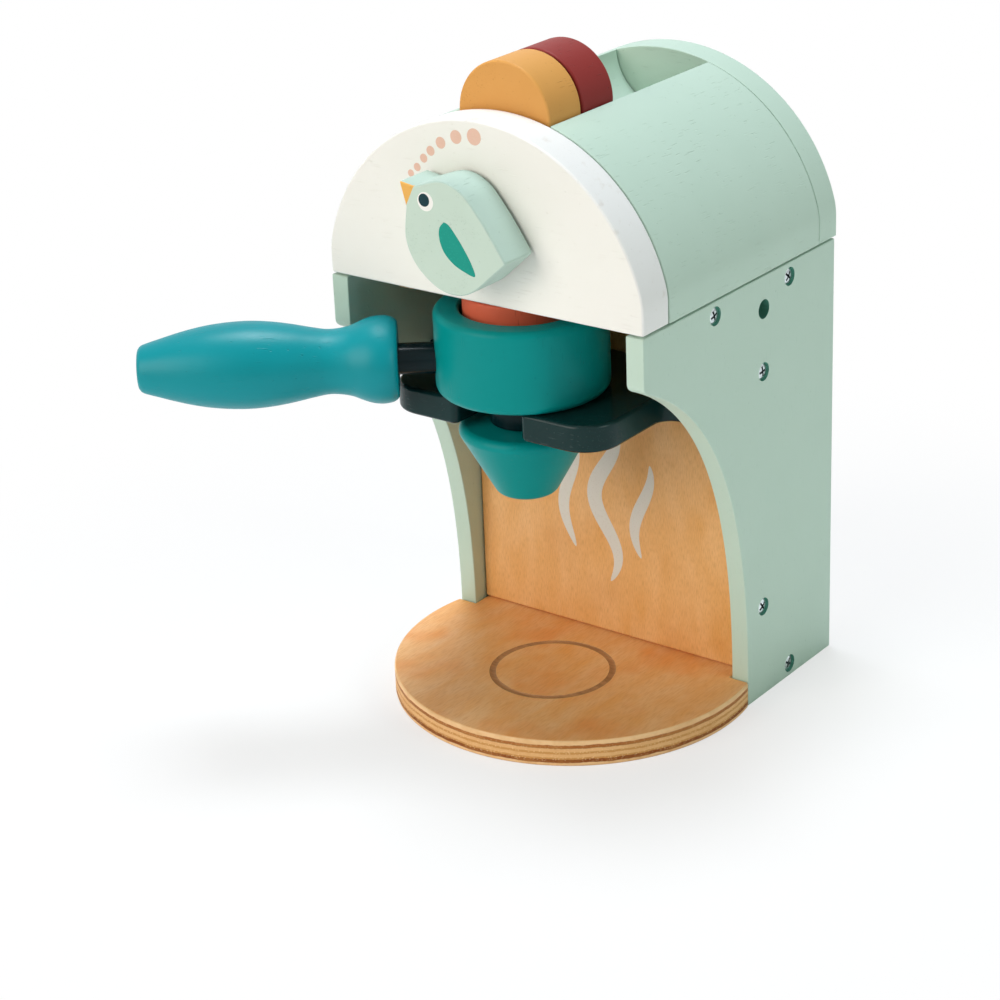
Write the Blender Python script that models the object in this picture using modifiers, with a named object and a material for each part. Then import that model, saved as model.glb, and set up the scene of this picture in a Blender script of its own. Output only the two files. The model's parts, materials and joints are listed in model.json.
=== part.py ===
"""Toy coffee maker, built as its separate wooden pieces.

Metres, +Z up. The front faces -Y and X runs to the right. The origin lies on
the floor under the middle of the fascia's front face.
"""

import math

import bmesh
import bpy
from mathutils import Vector

# Clearances and edges
FIT_GAP = 0.0003
CUT_OVERRUN = 0.002
EDGE_ROUND = 0.0009
SOFT_EDGE_ROUND = 0.0013
WELD_DISTANCE = 0.000001
MERGE_THRESHOLD = 0.00001

# Body
BODY_WIDTH = 0.124
BODY_DEPTH = 0.1152
PANEL_HEIGHT = 0.1533
PANEL_THICKNESS = 0.0066
PANEL_BROW_HEIGHT = 0.0161
PANEL_NOSE_REACH = 0.003
PANEL_NOSE_DROP = 0.0034
PANEL_NOSE_PULL = 0.0017
PANEL_FOOT_SETBACK = 0.0602
SWEEP_HEAD_PULL = 0.050
SWEEP_FOOT_PULL = 0.0527
SWEEP_ANGLE = math.radians(24.7)

# Base board
BASE_THICKNESS = 0.0096
BASE_DISC_RADIUS = 0.064
BASE_DISC_SETBACK = 0.0457
BASE_SHOULDER_GAP = 0.0005
RING_RADIUS = 0.0209
RING_SETBACK = 0.0315
RING_GROOVE_WIDTH = 0.0019
RING_GROOVE_DEPTH = 0.0006

# Back panel and its screws
BACK_PANEL_SETBACK = 0.066
BACK_PANEL_THICKNESS = 0.008
BACK_SCREW_LOW_HEIGHT = 0.034
BACK_SCREW_HIGH_DROP = 0.0335
SIDE_HOLE_DROP = 0.0117
SIDE_HOLE_RADIUS = 0.0033
SIDE_HOLE_DEPTH = 0.004

# Top rails
RAIL_WIDTH = 0.011
RAIL_HEIGHT = 0.0104
REAR_RAIL_INSET = 0.006
FRONT_RAIL_GAP = 0.007
FRONT_SIDE_SCREW_SHARE = 0.432
FRONT_DOME_SCREW_SHARE = 0.25
REAR_SIDE_SCREW_SHARE = 0.38
REAR_DOME_SCREW_SHARE = 0.8

# Dome
FASCIA_THICKNESS = 0.0145
REAR_FASCIA_THICKNESS = 0.0109
REAR_OVERHANG = 0.0011
DOME_CROWN_SPREAD = 0.0015
DOME_CENTRE_DROP = 0.00385
DOME_SHOULDER_RADIUS = 0.025
DOWEL_RADIUS = 0.003
DOWEL_LENGTH = 0.016
DOWEL_EDGE = 0.0003
DOWEL_SPREAD = 0.040
DOWEL_HEIGHT = 0.021

# Pods
POD_RADIUS = 0.0178
POD_THICKNESS = 0.0172
POD_EDGE_ROUND = 0.0009
POD_SPACING_GAP = 0.0008
TROUGH_POD_PLAY = 0.0007
TROUGH_CENTRE_DROP = 0.00195

# Fork bracket
BRACKET_DROP = 0.0443
BRACKET_THICKNESS = 0.0095
BRACKET_FRONT_SETBACK = 0.0005
BRACKET_HALF_WIDTH = 0.0430
BRACKET_BAR_DEPTH = 0.0257
BRACKET_CORNER_RADIUS = 0.0125
BRACKET_LIP_RADIUS = 0.0025
BRACKET_FILLET_RADIUS = 0.0055
BRACKET_SCREW_SPREAD = 0.030

# Portafilter
DOCK_SETBACK = 0.0209
DOCK_YAW = math.radians(37.6)
NECK_RADIUS = 0.0115
NECK_PLAY = 0.0013
TENON_RADIUS = 0.005
TENON_LENGTH = 0.006
CUP_RADIUS = 0.0288
CUP_HEIGHT = 0.0285
CUP_RECESS_DEPTH = 0.0127
CUP_POD_PLAY = 0.0025
CUP_POD_SHIFT = 0.0017
CUP_RIM_ROUND = 0.0022
CUP_MOUTH_ROUND = 0.0012
CUP_FOOT_ROUND = 0.003
SPOUT_DROP = 0.0022
SPOUT_TOP_RADIUS = 0.0238
SPOUT_TIP_RADIUS = 0.0098
SPOUT_HEIGHT = 0.0252
SPOUT_TOP_ROUND = 0.0025
SPOUT_TIP_ROUND = 0.0035
ROD_RADIUS = 0.0052
ROD_HEIGHT_IN_CUP = 0.0112
ROD_INNER_REACH = 0.0218
ROD_IN_HANDLE = 0.024
HANDLE_START = 0.0407
HANDLE_LENGTH = 0.0849
HANDLE_RADIUS = 0.0144
# Length along the handle from its inner end, and radius there
HANDLE_PROFILE_SHARES = (
    (0.0, 0.86), (0.010, 0.93), (0.030, 0.985), (0.065, 1.005), (0.100, 0.98), (0.135, 0.915),
    (0.190, 0.79), (0.262, 0.74), (0.330, 0.80), (0.400, 0.885), (0.480, 0.96), (0.560, 0.998),
    (0.634, 0.992), (0.716, 0.948), (0.790, 0.87), (0.860, 0.768), (0.930, 0.648), (0.972, 0.575),
    (0.990, 0.53), (1.0, 0.46),
)

# Knob, a bird cut from a block
KNOB_WIDTH = 0.0405
KNOB_HEIGHT = 0.0364
KNOB_THICKNESS = 0.0144
KNOB_TAILWARD_OFFSET = 0.0015
KNOB_AXIS_RISE = 0.0259
KNOB_EDGE_ROUND = 0.0011
KNOB_FACET_LENGTH = 0.0023
KNOB_HOLE_DEPTH = 0.009
SPINDLE_RADIUS = 0.003
SPINDLE_IN_FASCIA = 0.011
SPINDLE_EDGE = 0.0003
WASHER_RADIUS = 0.0065
WASHER_THICKNESS = 0.0005
# Outline as shares of the knob's width and height, anticlockwise, True where the corner is sharp
KNOB_OUTLINE_SHARES = (
    (-0.49, 0.44, True), (-0.433, 0.22, True), (-0.455, -0.07, False), (-0.36, -0.30, False),
    (-0.16, -0.47, False), (0.04, -0.50, False), (0.20, -0.43, False), (0.35, -0.29, False),
    (0.51, -0.13, True), (0.40, 0.05, False), (0.28, 0.23, False), (0.11, 0.43, False),
    (-0.10, 0.50, False), (-0.345, 0.415, True),
)

# Screws
SCREW_HEAD_RADIUS = 0.003
SCREW_HEAD_HEIGHT = 0.0018
SCREW_HEAD_EDGE = 0.0002
SCREW_SHANK_RADIUS = 0.0014
SCREW_LENGTH = 0.0155
SCREW_TIP_LENGTH = 0.0025
SCREW_RECESS = 0.0002
DOME_SCREW_LENGTH = 0.019
BRACKET_SCREW_LENGTH = 0.019

# Facets
ROUND_STEPS = 40
HANDLE_STEPS = 32
ROD_STEPS = 20
SMALL_ROUND_STEPS = 10
CORNER_STEPS = 5
TURNED_CORNER_STEPS = 2
BEVEL_STEPS = 2
NOSE_STEPS = 4
SWEEP_STEPS = 14
CROWN_STEPS = 32
SHOULDER_STEPS = 5
DISC_STEPS = 52
KNOB_SPAN_STEPS = 8
BEVEL_ANGLE = math.radians(40)
SMOOTH_ANGLE = math.radians(35)

# Derived places
HALF_WIDTH = BODY_WIDTH / 2
INNER_HALF_WIDTH = HALF_WIDTH - PANEL_THICKNESS
BOARD_HALF_WIDTH = INNER_HALF_WIDTH - FIT_GAP
DOME_UNDERSIDE = PANEL_HEIGHT + FIT_GAP
CROWN_RADIUS = HALF_WIDTH + DOME_CROWN_SPREAD
DOME_TOP = DOME_UNDERSIDE - DOME_CENTRE_DROP + CROWN_RADIUS
DOME_BODY_FRONT = FASCIA_THICKNESS + FIT_GAP
REAR_FASCIA_BACK = BODY_DEPTH + REAR_OVERHANG
REAR_FASCIA_FRONT = REAR_FASCIA_BACK - REAR_FASCIA_THICKNESS
DOME_BODY_BACK = REAR_FASCIA_FRONT - FIT_GAP
BACK_PANEL_MIDDLE = BACK_PANEL_SETBACK + BACK_PANEL_THICKNESS / 2
BACK_PANEL_REAR = BACK_PANEL_SETBACK + BACK_PANEL_THICKNESS
BASE_SHOULDER = PANEL_FOOT_SETBACK - BASE_SHOULDER_GAP
RAIL_MIDDLE_HEIGHT = PANEL_HEIGHT - RAIL_HEIGHT / 2
FRONT_RAIL_START = DOME_BODY_FRONT + FRONT_RAIL_GAP
FRONT_RAIL_END = BACK_PANEL_SETBACK - FIT_GAP
REAR_RAIL_START = BACK_PANEL_REAR + FIT_GAP
REAR_RAIL_END = BODY_DEPTH - REAR_RAIL_INSET
FRONT_RAIL_SPAN = FRONT_RAIL_END - FRONT_RAIL_START
REAR_RAIL_SPAN = DOME_BODY_BACK - REAR_RAIL_START
TROUGH_RADIUS = POD_RADIUS + TROUGH_POD_PLAY
TROUGH_HEIGHT = DOME_TOP - TROUGH_CENTRE_DROP
TROUGH_POD_HEIGHT = TROUGH_HEIGHT - TROUGH_RADIUS + FIT_GAP + POD_RADIUS
BRACKET_UNDERSIDE = PANEL_HEIGHT - BRACKET_DROP
BRACKET_TOP = BRACKET_UNDERSIDE + BRACKET_THICKNESS
BRACKET_REAR = BACK_PANEL_SETBACK - FIT_GAP
BRACKET_BAR_FRONT = BRACKET_REAR - BRACKET_BAR_DEPTH
SLOT_HALF_WIDTH = NECK_RADIUS + NECK_PLAY
CUP_BOTTOM = BRACKET_TOP + FIT_GAP
CUP_FLOOR = CUP_BOTTOM + CUP_HEIGHT - CUP_RECESS_DEPTH
CUP_RECESS_RADIUS = POD_RADIUS + CUP_POD_PLAY
SPOUT_TOP = BRACKET_UNDERSIDE - SPOUT_DROP
NECK_BOTTOM = SPOUT_TOP + FIT_GAP
ROD_HEIGHT = CUP_BOTTOM + ROD_HEIGHT_IN_CUP
KNOB_AXIS_HEIGHT = DOME_UNDERSIDE + KNOB_AXIS_RISE
WASHER_FRONT = -FIT_GAP - WASHER_THICKNESS
KNOB_BACK = WASHER_FRONT - FIT_GAP

# Paints and woods: linear colour, roughness, metallic
MINT = ("painted_mint", (0.40, 0.58, 0.48), 0.45, 0.0)
WHITE = ("painted_white", (0.88, 0.87, 0.82), 0.45, 0.0)
BIRCH = ("lacquered_birch", (0.62, 0.38, 0.17), 0.40, 0.0)
PINE = ("plain_pine", (0.65, 0.48, 0.28), 0.60, 0.0)
TEAL = ("painted_teal", (0.01, 0.24, 0.23), 0.32, 0.0)
NAVY = ("painted_navy", (0.008, 0.022, 0.032), 0.30, 0.0)
YELLOW = ("painted_ochre", (0.76, 0.39, 0.09), 0.45, 0.0)
BURGUNDY = ("painted_burgundy", (0.26, 0.035, 0.032), 0.42, 0.0)
TERRACOTTA = ("painted_terracotta", (0.52, 0.10, 0.05), 0.42, 0.0)
KNOB_GREEN = ("painted_pale_mint", (0.58, 0.72, 0.60), 0.45, 0.0)
ZINC = ("zinc_plated_steel", (0.62, 0.66, 0.68), 0.35, 1.0)
FIBRE = ("fibre_washer", (0.08, 0.07, 0.06), 0.70, 0.0)


def clear_scene():
    """Remove every object, so that the file holds only this model."""
    for obj in list(bpy.data.objects):
        bpy.data.objects.remove(obj, do_unlink=True)


def new_collection(name):
    """Return a new collection under the scene's own."""
    collection = bpy.data.collections.new(name)
    bpy.context.scene.collection.children.link(collection)
    return collection


clear_scene()
PARTS = new_collection("toy_coffee_maker")
CUTTERS = new_collection("cutters")


def painted(obj, finish):
    """Give an object a material of its own with this finish."""
    name, colour, roughness, metallic = finish
    material = bpy.data.materials.new(f"{obj.name}_{name}")
    material.use_nodes = True
    shader = material.node_tree.nodes["Principled BSDF"]
    shader.inputs["Base Color"].default_value = (*colour, 1)
    shader.inputs["Roughness"].default_value = roughness
    shader.inputs["Metallic"].default_value = metallic
    material.diffuse_color = (*colour, 1)
    obj.data.materials.clear()
    obj.data.materials.append(material)
    return obj


def as_cutter(obj):
    """Turn an object into a cutter that is not part of the model."""
    PARTS.objects.unlink(obj)
    CUTTERS.objects.link(obj)
    obj.hide_render = True
    obj.display_type = "WIRE"
    return obj


def cut(obj, cutter):
    """Cut one closed shape out of another."""
    modifier = obj.modifiers.new(cutter.name, "BOOLEAN")
    modifier.operation = "DIFFERENCE"
    modifier.object = cutter


def round_edges(obj, width, limit="ANGLE"):
    """Round an object's edges, either all the sharp ones or those with a bevel weight."""
    modifier = obj.modifiers.new("rounded_edges", "BEVEL")
    modifier.width = width
    modifier.segments = BEVEL_STEPS
    modifier.limit_method = limit
    modifier.angle_limit = BEVEL_ANGLE


def smooth(obj):
    """Shade a rounded object smooth up to its sharp edges."""
    obj.data.shade_smooth()
    obj.data.set_sharp_from_angle(angle=SMOOTH_ANGLE)


def arc(centre, radius, start, end, steps):
    """Points along an arc from one angle to another, both ends included."""
    angles = [start + (end - start) * step / steps for step in range(steps + 1)]
    return [(centre[0] + radius * math.cos(a), centre[1] + radius * math.sin(a)) for a in angles]


def bezier(start, first_pull, last_pull, end, steps):
    """Points along a cubic Bezier curve, both ends included."""
    points = []
    for step in range(steps + 1):
        t = step / steps
        weights = ((1 - t) ** 3, 3 * (1 - t) ** 2 * t, 3 * (1 - t) * t ** 2, t ** 3)
        handles = (start, first_pull, last_pull, end)
        points.append(tuple(sum(w * h[axis] for w, h in zip(weights, handles)) for axis in (0, 1)))
    return points


def spline_through(stations, steps):
    """Points on a smooth curve through the stations, by Catmull-Rom pieces."""
    padded = [stations[0], *stations, stations[-1]]
    points = [stations[0]]
    for before, start, end, after in zip(padded, padded[1:], padded[2:], padded[3:]):
        first = [s + (e - b) / 6 for s, e, b in zip(start, end, before)]
        last = [e - (a - s) / 6 for s, e, a in zip(start, end, after)]
        points += bezier(start, first, last, end, steps)[1:]
    return points


def evenly_spaced(points, spacing):
    """The same path in equal steps, as near to this spacing as its length allows."""
    lengths = [math.dist(start, end) for start, end in zip(points, points[1:])]
    count = max(1, round(sum(lengths) / spacing))
    pace = sum(lengths) / count
    path = [points[0]]
    travelled = 0
    for start, end, length in zip(points, points[1:], lengths):
        while len(path) < count and len(path) * pace <= travelled + length:
            share = (len(path) * pace - travelled) / length
            path.append(tuple(s + share * (e - s) for s, e in zip(start, end)))
        travelled += length
    return [*path, points[-1]]


def rounded_path(corners, closed, steps):
    """Points of a path through corners (x, y, radius), each rounded by a tangent arc."""
    points = []
    count = len(corners)
    for index, (x, y, radius) in enumerate(corners):
        at_end = not closed and index in (0, count - 1)
        if at_end or radius == 0:
            points.append((x, y))
            continue
        here = Vector((x, y))
        before = (Vector(corners[index - 1][:2]) - here).normalized()
        after = (Vector(corners[(index + 1) % count][:2]) - here).normalized()
        half_angle = before.angle(after) / 2
        centre = here + (before + after).normalized() * radius / math.sin(half_angle)
        first = here + before * radius / math.tan(half_angle) - centre
        last = here + after * radius / math.tan(half_angle) - centre
        start = math.atan2(first.y, first.x)
        turn = math.remainder(math.atan2(last.y, last.x) - start, math.tau)
        points += arc(centre, radius, start, start + turn, steps)
    return [point for before, point in zip(points[-1:] + points, points)
            if math.dist(before, point) > WELD_DISTANCE]


def join_caps(bm):
    """Make each flat cap of a filled outline one face, and mark its rim for the bevel."""
    weights = bm.edges.layers.float.new("bevel_weight_edge")
    for side in (-1, 1):
        cap = [face for face in bm.faces if all(vert.co.z * side > 0 for vert in face.verts)]
        joined = bmesh.ops.dissolve_faces(bm, faces=cap)["region"]
        for edge in joined[0].edges:
            edge[weights] = 1


def mesh_from_curve(curve_obj):
    """Replace a filled curve by the mesh it makes, with its caps welded on."""
    name = curve_obj.name
    depsgraph = bpy.context.evaluated_depsgraph_get()
    mesh = bpy.data.meshes.new_from_object(curve_obj.evaluated_get(depsgraph))
    bm = bmesh.new()
    bm.from_mesh(mesh)
    bmesh.ops.remove_doubles(bm, verts=bm.verts, dist=WELD_DISTANCE)
    join_caps(bm)
    bm.to_mesh(mesh)
    bm.free()
    matrix = curve_obj.matrix_world.copy()
    bpy.data.objects.remove(curve_obj, do_unlink=True)
    obj = bpy.data.objects.new(name, mesh)
    PARTS.objects.link(obj)
    obj.matrix_world = matrix
    return obj


def plate(name, outline, thickness, edge, place, rotation=(0, 0, 0)):
    """A board with this outline, centred on place, with the rims of its faces rounded."""
    curve = bpy.data.curves.new(name, "CURVE")
    curve.dimensions = "2D"
    curve.fill_mode = "BOTH"
    curve.extrude = thickness / 2
    obj = bpy.data.objects.new(name, curve)
    PARTS.objects.link(obj)
    spline = curve.splines.new("POLY")
    spline.points.add(len(outline) - 1)
    for point, (x, y) in zip(spline.points, outline):
        point.co = (x, y, 0, 1)
    spline.use_cyclic_u = True
    obj.location = place
    obj.rotation_euler = rotation
    bpy.context.view_layer.update()
    obj = mesh_from_curve(obj)
    smooth(obj)
    round_edges(obj, edge, "WEIGHT")
    return obj


def block(name, size, place, edge):
    """A box with rounded edges, centred on place."""
    bm = bmesh.new()
    bmesh.ops.create_cube(bm, size=1)
    bmesh.ops.scale(bm, vec=size, verts=bm.verts)
    mesh = bpy.data.meshes.new(name)
    bm.to_mesh(mesh)
    bm.free()
    obj = bpy.data.objects.new(name, mesh)
    PARTS.objects.link(obj)
    obj.location = place
    round_edges(obj, edge)
    return obj


def turned(name, profile, steps, place=(0, 0, 0), rotation=(0, 0, 0), parent=None):
    """A shape turned about its own Z from a profile that runs down its outer side.

    A profile that ends where it starts makes a ring.
    """
    mesh = bpy.data.meshes.new(name)
    edges = [(index, index + 1) for index in range(len(profile) - 1)]
    if profile[0] == profile[-1]:
        profile = profile[:-1]
        edges[-1] = (len(profile) - 1, 0)
    mesh.from_pydata([(radius, 0, height) for radius, height in profile], edges, [])
    obj = bpy.data.objects.new(name, mesh)
    PARTS.objects.link(obj)
    screw = obj.modifiers.new("turning", "SCREW")
    screw.axis = "Z"
    screw.steps = steps
    screw.render_steps = steps
    screw.use_merge_vertices = True
    screw.merge_threshold = MERGE_THRESHOLD
    screw.use_smooth_shade = True
    obj.parent = parent
    obj.location = place
    obj.rotation_euler = rotation
    return obj


def round_bar(name, radius, length, edge, steps, place, rotation, parent=None):
    """A turned bar that hangs from its origin along its own -Z."""
    corners = ((0, 0, 0), (radius, 0, edge), (radius, -length, edge), (0, -length, 0))
    profile = rounded_path(corners, False, TURNED_CORNER_STEPS)
    return turned(name, profile, steps, place, rotation, parent)


def hole(name, radius, depth, steps, place, rotation, parent=None):
    """A cutter for a round hole that goes in from place along its own -Z."""
    profile = ((0, CUT_OVERRUN), (radius, CUT_OVERRUN), (radius, -depth), (0, -depth))
    return as_cutter(turned(name, profile, steps, place, rotation, parent))


# Side panels

FACING_RIGHT = (0, math.pi / 2, 0)
FACING_LEFT = (0, -math.pi / 2, 0)
FACING_FRONT = (math.pi / 2, 0, 0)
FACING_BACK = (-math.pi / 2, 0, 0)
FACING_DOWN = (math.pi, 0, 0)
PANEL_TURN = (math.pi / 2, 0, math.pi / 2)


def panel_outline():
    """The side panel seen from its right: depth from the front, then height."""
    brow = (0, PANEL_HEIGHT - PANEL_BROW_HEIGHT)
    nose = (PANEL_NOSE_REACH, brow[1] - PANEL_NOSE_DROP)
    foot = (PANEL_FOOT_SETBACK, BASE_THICKNESS)
    lean = (math.cos(SWEEP_ANGLE), -math.sin(SWEEP_ANGLE))
    into_nose = (nose[0] - lean[0] * PANEL_NOSE_PULL, nose[1] - lean[1] * PANEL_NOSE_PULL)
    out_of_nose = (nose[0] + lean[0] * SWEEP_HEAD_PULL, nose[1] + lean[1] * SWEEP_HEAD_PULL)
    above_foot = (foot[0], foot[1] + SWEEP_FOOT_PULL)
    outline = [(BODY_DEPTH, 0), (BODY_DEPTH, PANEL_HEIGHT), (0, PANEL_HEIGHT)]
    outline += bezier(brow, (brow[0], brow[1] - PANEL_NOSE_PULL), into_nose, nose, NOSE_STEPS)
    outline += bezier(nose, out_of_nose, above_foot, foot, SWEEP_STEPS)[1:]
    outline.append((PANEL_FOOT_SETBACK, 0))
    return outline


def side_panel(name, side):
    """One side panel, with its blind hole; side is 1 on the right and -1 on the left."""
    middle = side * (HALF_WIDTH - PANEL_THICKNESS / 2)
    panel = plate(name, panel_outline(), PANEL_THICKNESS, EDGE_ROUND, (middle, 0, 0), PANEL_TURN)
    facing = FACING_RIGHT if side > 0 else FACING_LEFT
    place = (side * HALF_WIDTH, BACK_PANEL_MIDDLE, PANEL_HEIGHT - SIDE_HOLE_DROP)
    cut(panel, hole(f"{name}_hole_cut", SIDE_HOLE_RADIUS, SIDE_HOLE_DEPTH, SMALL_ROUND_STEPS, place, facing))
    return painted(panel, MINT)


right_panel = side_panel("right_side_panel", 1)
left_panel = side_panel("left_side_panel", -1)


# Boards between the panels

def base_outline():
    """The base board from above: a disc in front and a tongue between the panels."""
    shoulder_angle = math.asin((BASE_SHOULDER - BASE_DISC_SETBACK) / BASE_DISC_RADIUS)
    centre = (0, BASE_DISC_SETBACK)
    outline = arc(centre, BASE_DISC_RADIUS, -math.pi - shoulder_angle, shoulder_angle, DISC_STEPS)
    rear = BODY_DEPTH - FIT_GAP
    outline += [(BOARD_HALF_WIDTH, BASE_SHOULDER), (BOARD_HALF_WIDTH, rear)]
    outline += [(-BOARD_HALF_WIDTH, rear), (-BOARD_HALF_WIDTH, BASE_SHOULDER)]
    return outline


def base_board():
    """The plywood base with the routed ring that marks the cup's place."""
    board = plate("base_board", base_outline(), BASE_THICKNESS, EDGE_ROUND, (0, 0, BASE_THICKNESS / 2))
    inner = RING_RADIUS - RING_GROOVE_WIDTH / 2
    outer = RING_RADIUS + RING_GROOVE_WIDTH / 2
    profile = (
        (inner, CUT_OVERRUN), (outer, CUT_OVERRUN), (outer, 0), (RING_RADIUS, -RING_GROOVE_DEPTH),
        (inner, 0), (inner, CUT_OVERRUN),
    )
    ring = turned("ring_groove_cut", profile, ROUND_STEPS, (0, RING_SETBACK, BASE_THICKNESS))
    cut(board, as_cutter(ring))
    return painted(board, BIRCH)


def back_panel():
    """The upright birch panel, standing on the base board."""
    bottom = BASE_THICKNESS + FIT_GAP
    size = (2 * BOARD_HALF_WIDTH, BACK_PANEL_THICKNESS, PANEL_HEIGHT - bottom)
    place = (0, BACK_PANEL_MIDDLE, bottom + size[2] / 2)
    return painted(block("back_panel", size, place, EDGE_ROUND), BIRCH)


def top_rail(name, side, start, end):
    """A rail in the corner between a side panel and the dome."""
    size = (RAIL_WIDTH, end - start, RAIL_HEIGHT)
    place = (side * (BOARD_HALF_WIDTH - RAIL_WIDTH / 2), (start + end) / 2, RAIL_MIDDLE_HEIGHT)
    return painted(block(name, size, place, EDGE_ROUND), PINE)


base = base_board()
back = back_panel()
front_rails = {
    1: top_rail("front_rail_right", 1, FRONT_RAIL_START, FRONT_RAIL_END),
    -1: top_rail("front_rail_left", -1, FRONT_RAIL_START, FRONT_RAIL_END),
}
rear_rails = {
    1: top_rail("rear_rail_right", 1, REAR_RAIL_START, REAR_RAIL_END),
    -1: top_rail("rear_rail_left", -1, REAR_RAIL_START, REAR_RAIL_END),
}


# Dome

def dome_outline():
    """The arch: a short straight side, a shoulder arc and the crown arc, up from the underside."""
    centre = (0, -DOME_CENTRE_DROP)
    shoulder_x = HALF_WIDTH - DOME_SHOULDER_RADIUS
    shoulder_rise = math.sqrt((CROWN_RADIUS - DOME_SHOULDER_RADIUS) ** 2 - shoulder_x ** 2)
    join = math.atan2(shoulder_rise, shoulder_x)
    right = (shoulder_x, centre[1] + shoulder_rise)
    left = (-shoulder_x, right[1])
    outline = [(HALF_WIDTH, 0)]
    outline += arc(right, DOME_SHOULDER_RADIUS, 0, join, SHOULDER_STEPS)
    outline += arc(centre, CROWN_RADIUS, join, math.pi - join, CROWN_STEPS)[1:-1]
    outline += arc(left, DOME_SHOULDER_RADIUS, math.pi - join, math.pi, SHOULDER_STEPS)
    outline.append((-HALF_WIDTH, 0))
    return outline


def arch(name, front, rear, edge, finish):
    """One slice of the dome between two depths."""
    place = (0, (front + rear) / 2, DOME_UNDERSIDE)
    return painted(plate(name, dome_outline(), rear - front, edge, place, FACING_FRONT), finish)


fascia = arch("front_fascia", 0, FASCIA_THICKNESS, EDGE_ROUND, WHITE)
dome = arch("dome_body", DOME_BODY_FRONT, DOME_BODY_BACK, EDGE_ROUND, MINT)
rear_fascia = arch("rear_fascia", REAR_FASCIA_FRONT, REAR_FASCIA_BACK, EDGE_ROUND, MINT)

trough_length = DOME_BODY_BACK - DOME_BODY_FRONT + CUT_OVERRUN
trough_place = (0, DOME_BODY_FRONT, TROUGH_HEIGHT)
cut(dome, hole("trough_cut", TROUGH_RADIUS, trough_length, ROUND_STEPS, trough_place, FACING_FRONT))


def dowel(name, side, joint_depth, front_piece, rear_piece):
    """A dowel across the joint between two slices of the dome."""
    x = side * DOWEL_SPREAD
    z = DOME_UNDERSIDE + DOWEL_HEIGHT
    start = joint_depth - DOWEL_LENGTH / 2
    bar = round_bar(name, DOWEL_RADIUS, DOWEL_LENGTH, DOWEL_EDGE, SMALL_ROUND_STEPS,
                    (x, start, z), FACING_FRONT)
    bore = round_bar(f"{name}_cut", DOWEL_RADIUS + FIT_GAP, DOWEL_LENGTH + 2 * FIT_GAP, 0,
                     SMALL_ROUND_STEPS, (x, start - FIT_GAP, z), FACING_FRONT)
    as_cutter(bore)
    cut(front_piece, bore)
    cut(rear_piece, bore)
    return painted(bar, PINE)


FRONT_JOINT = FASCIA_THICKNESS + FIT_GAP / 2
REAR_JOINT = REAR_FASCIA_FRONT - FIT_GAP / 2
dowel("front_dowel_right", 1, FRONT_JOINT, fascia, dome)
dowel("front_dowel_left", -1, FRONT_JOINT, fascia, dome)
dowel("rear_dowel_right", 1, REAR_JOINT, dome, rear_fascia)
dowel("rear_dowel_left", -1, REAR_JOINT, dome, rear_fascia)


# Pods

def pod(name, place, rotation, finish):
    """A coffee pod, a thick disc that hangs from its origin along its own -Z."""
    bar = round_bar(name, POD_RADIUS, POD_THICKNESS, POD_EDGE_ROUND, ROUND_STEPS, place, rotation)
    return painted(bar, finish)


FIRST_POD_FRONT = DOME_BODY_FRONT + POD_SPACING_GAP
SECOND_POD_FRONT = FIRST_POD_FRONT + POD_THICKNESS + POD_SPACING_GAP
CUP_POD_TOP = CUP_FLOOR + FIT_GAP + POD_THICKNESS
pod("pod_yellow", (0, FIRST_POD_FRONT, TROUGH_POD_HEIGHT), FACING_FRONT, YELLOW)
pod("pod_burgundy", (0, SECOND_POD_FRONT, TROUGH_POD_HEIGHT), FACING_FRONT, BURGUNDY)
pod("pod_terracotta", (-CUP_POD_SHIFT, DOCK_SETBACK, CUP_POD_TOP), (0, 0, 0), TERRACOTTA)


# Fork bracket

def bracket_outline():
    """The fork from above: two prongs round the slot, filleted back to the cross bar."""
    right = [
        (SLOT_HALF_WIDTH, DOCK_SETBACK + SLOT_HALF_WIDTH, SLOT_HALF_WIDTH),
        (SLOT_HALF_WIDTH, BRACKET_FRONT_SETBACK, BRACKET_LIP_RADIUS),
        (BRACKET_HALF_WIDTH, BRACKET_FRONT_SETBACK, BRACKET_CORNER_RADIUS),
        (BRACKET_HALF_WIDTH, BRACKET_BAR_FRONT, BRACKET_FILLET_RADIUS),
        (BOARD_HALF_WIDTH, BRACKET_BAR_FRONT, 0),
        (BOARD_HALF_WIDTH, BRACKET_REAR, 0),
    ]
    left = [(-x, y, radius) for x, y, radius in reversed(right)]
    return rounded_path(right + left, True, CORNER_STEPS)


bracket_place = (0, 0, BRACKET_UNDERSIDE + BRACKET_THICKNESS / 2)
bracket = painted(
    plate("portafilter_bracket", bracket_outline(), BRACKET_THICKNESS, SOFT_EDGE_ROUND, bracket_place),
    NAVY,
)


# Portafilter, turned pieces on one upright axis and one level axis

portafilter = bpy.data.objects.new("portafilter", None)
PARTS.objects.link(portafilter)
portafilter.location = (0, DOCK_SETBACK, 0)
portafilter.rotation_euler = (0, 0, math.pi + DOCK_YAW)

TENON_HOLE_RADIUS = TENON_RADIUS + FIT_GAP
TENON_HOLE_DEPTH = TENON_LENGTH + FIT_GAP


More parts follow.
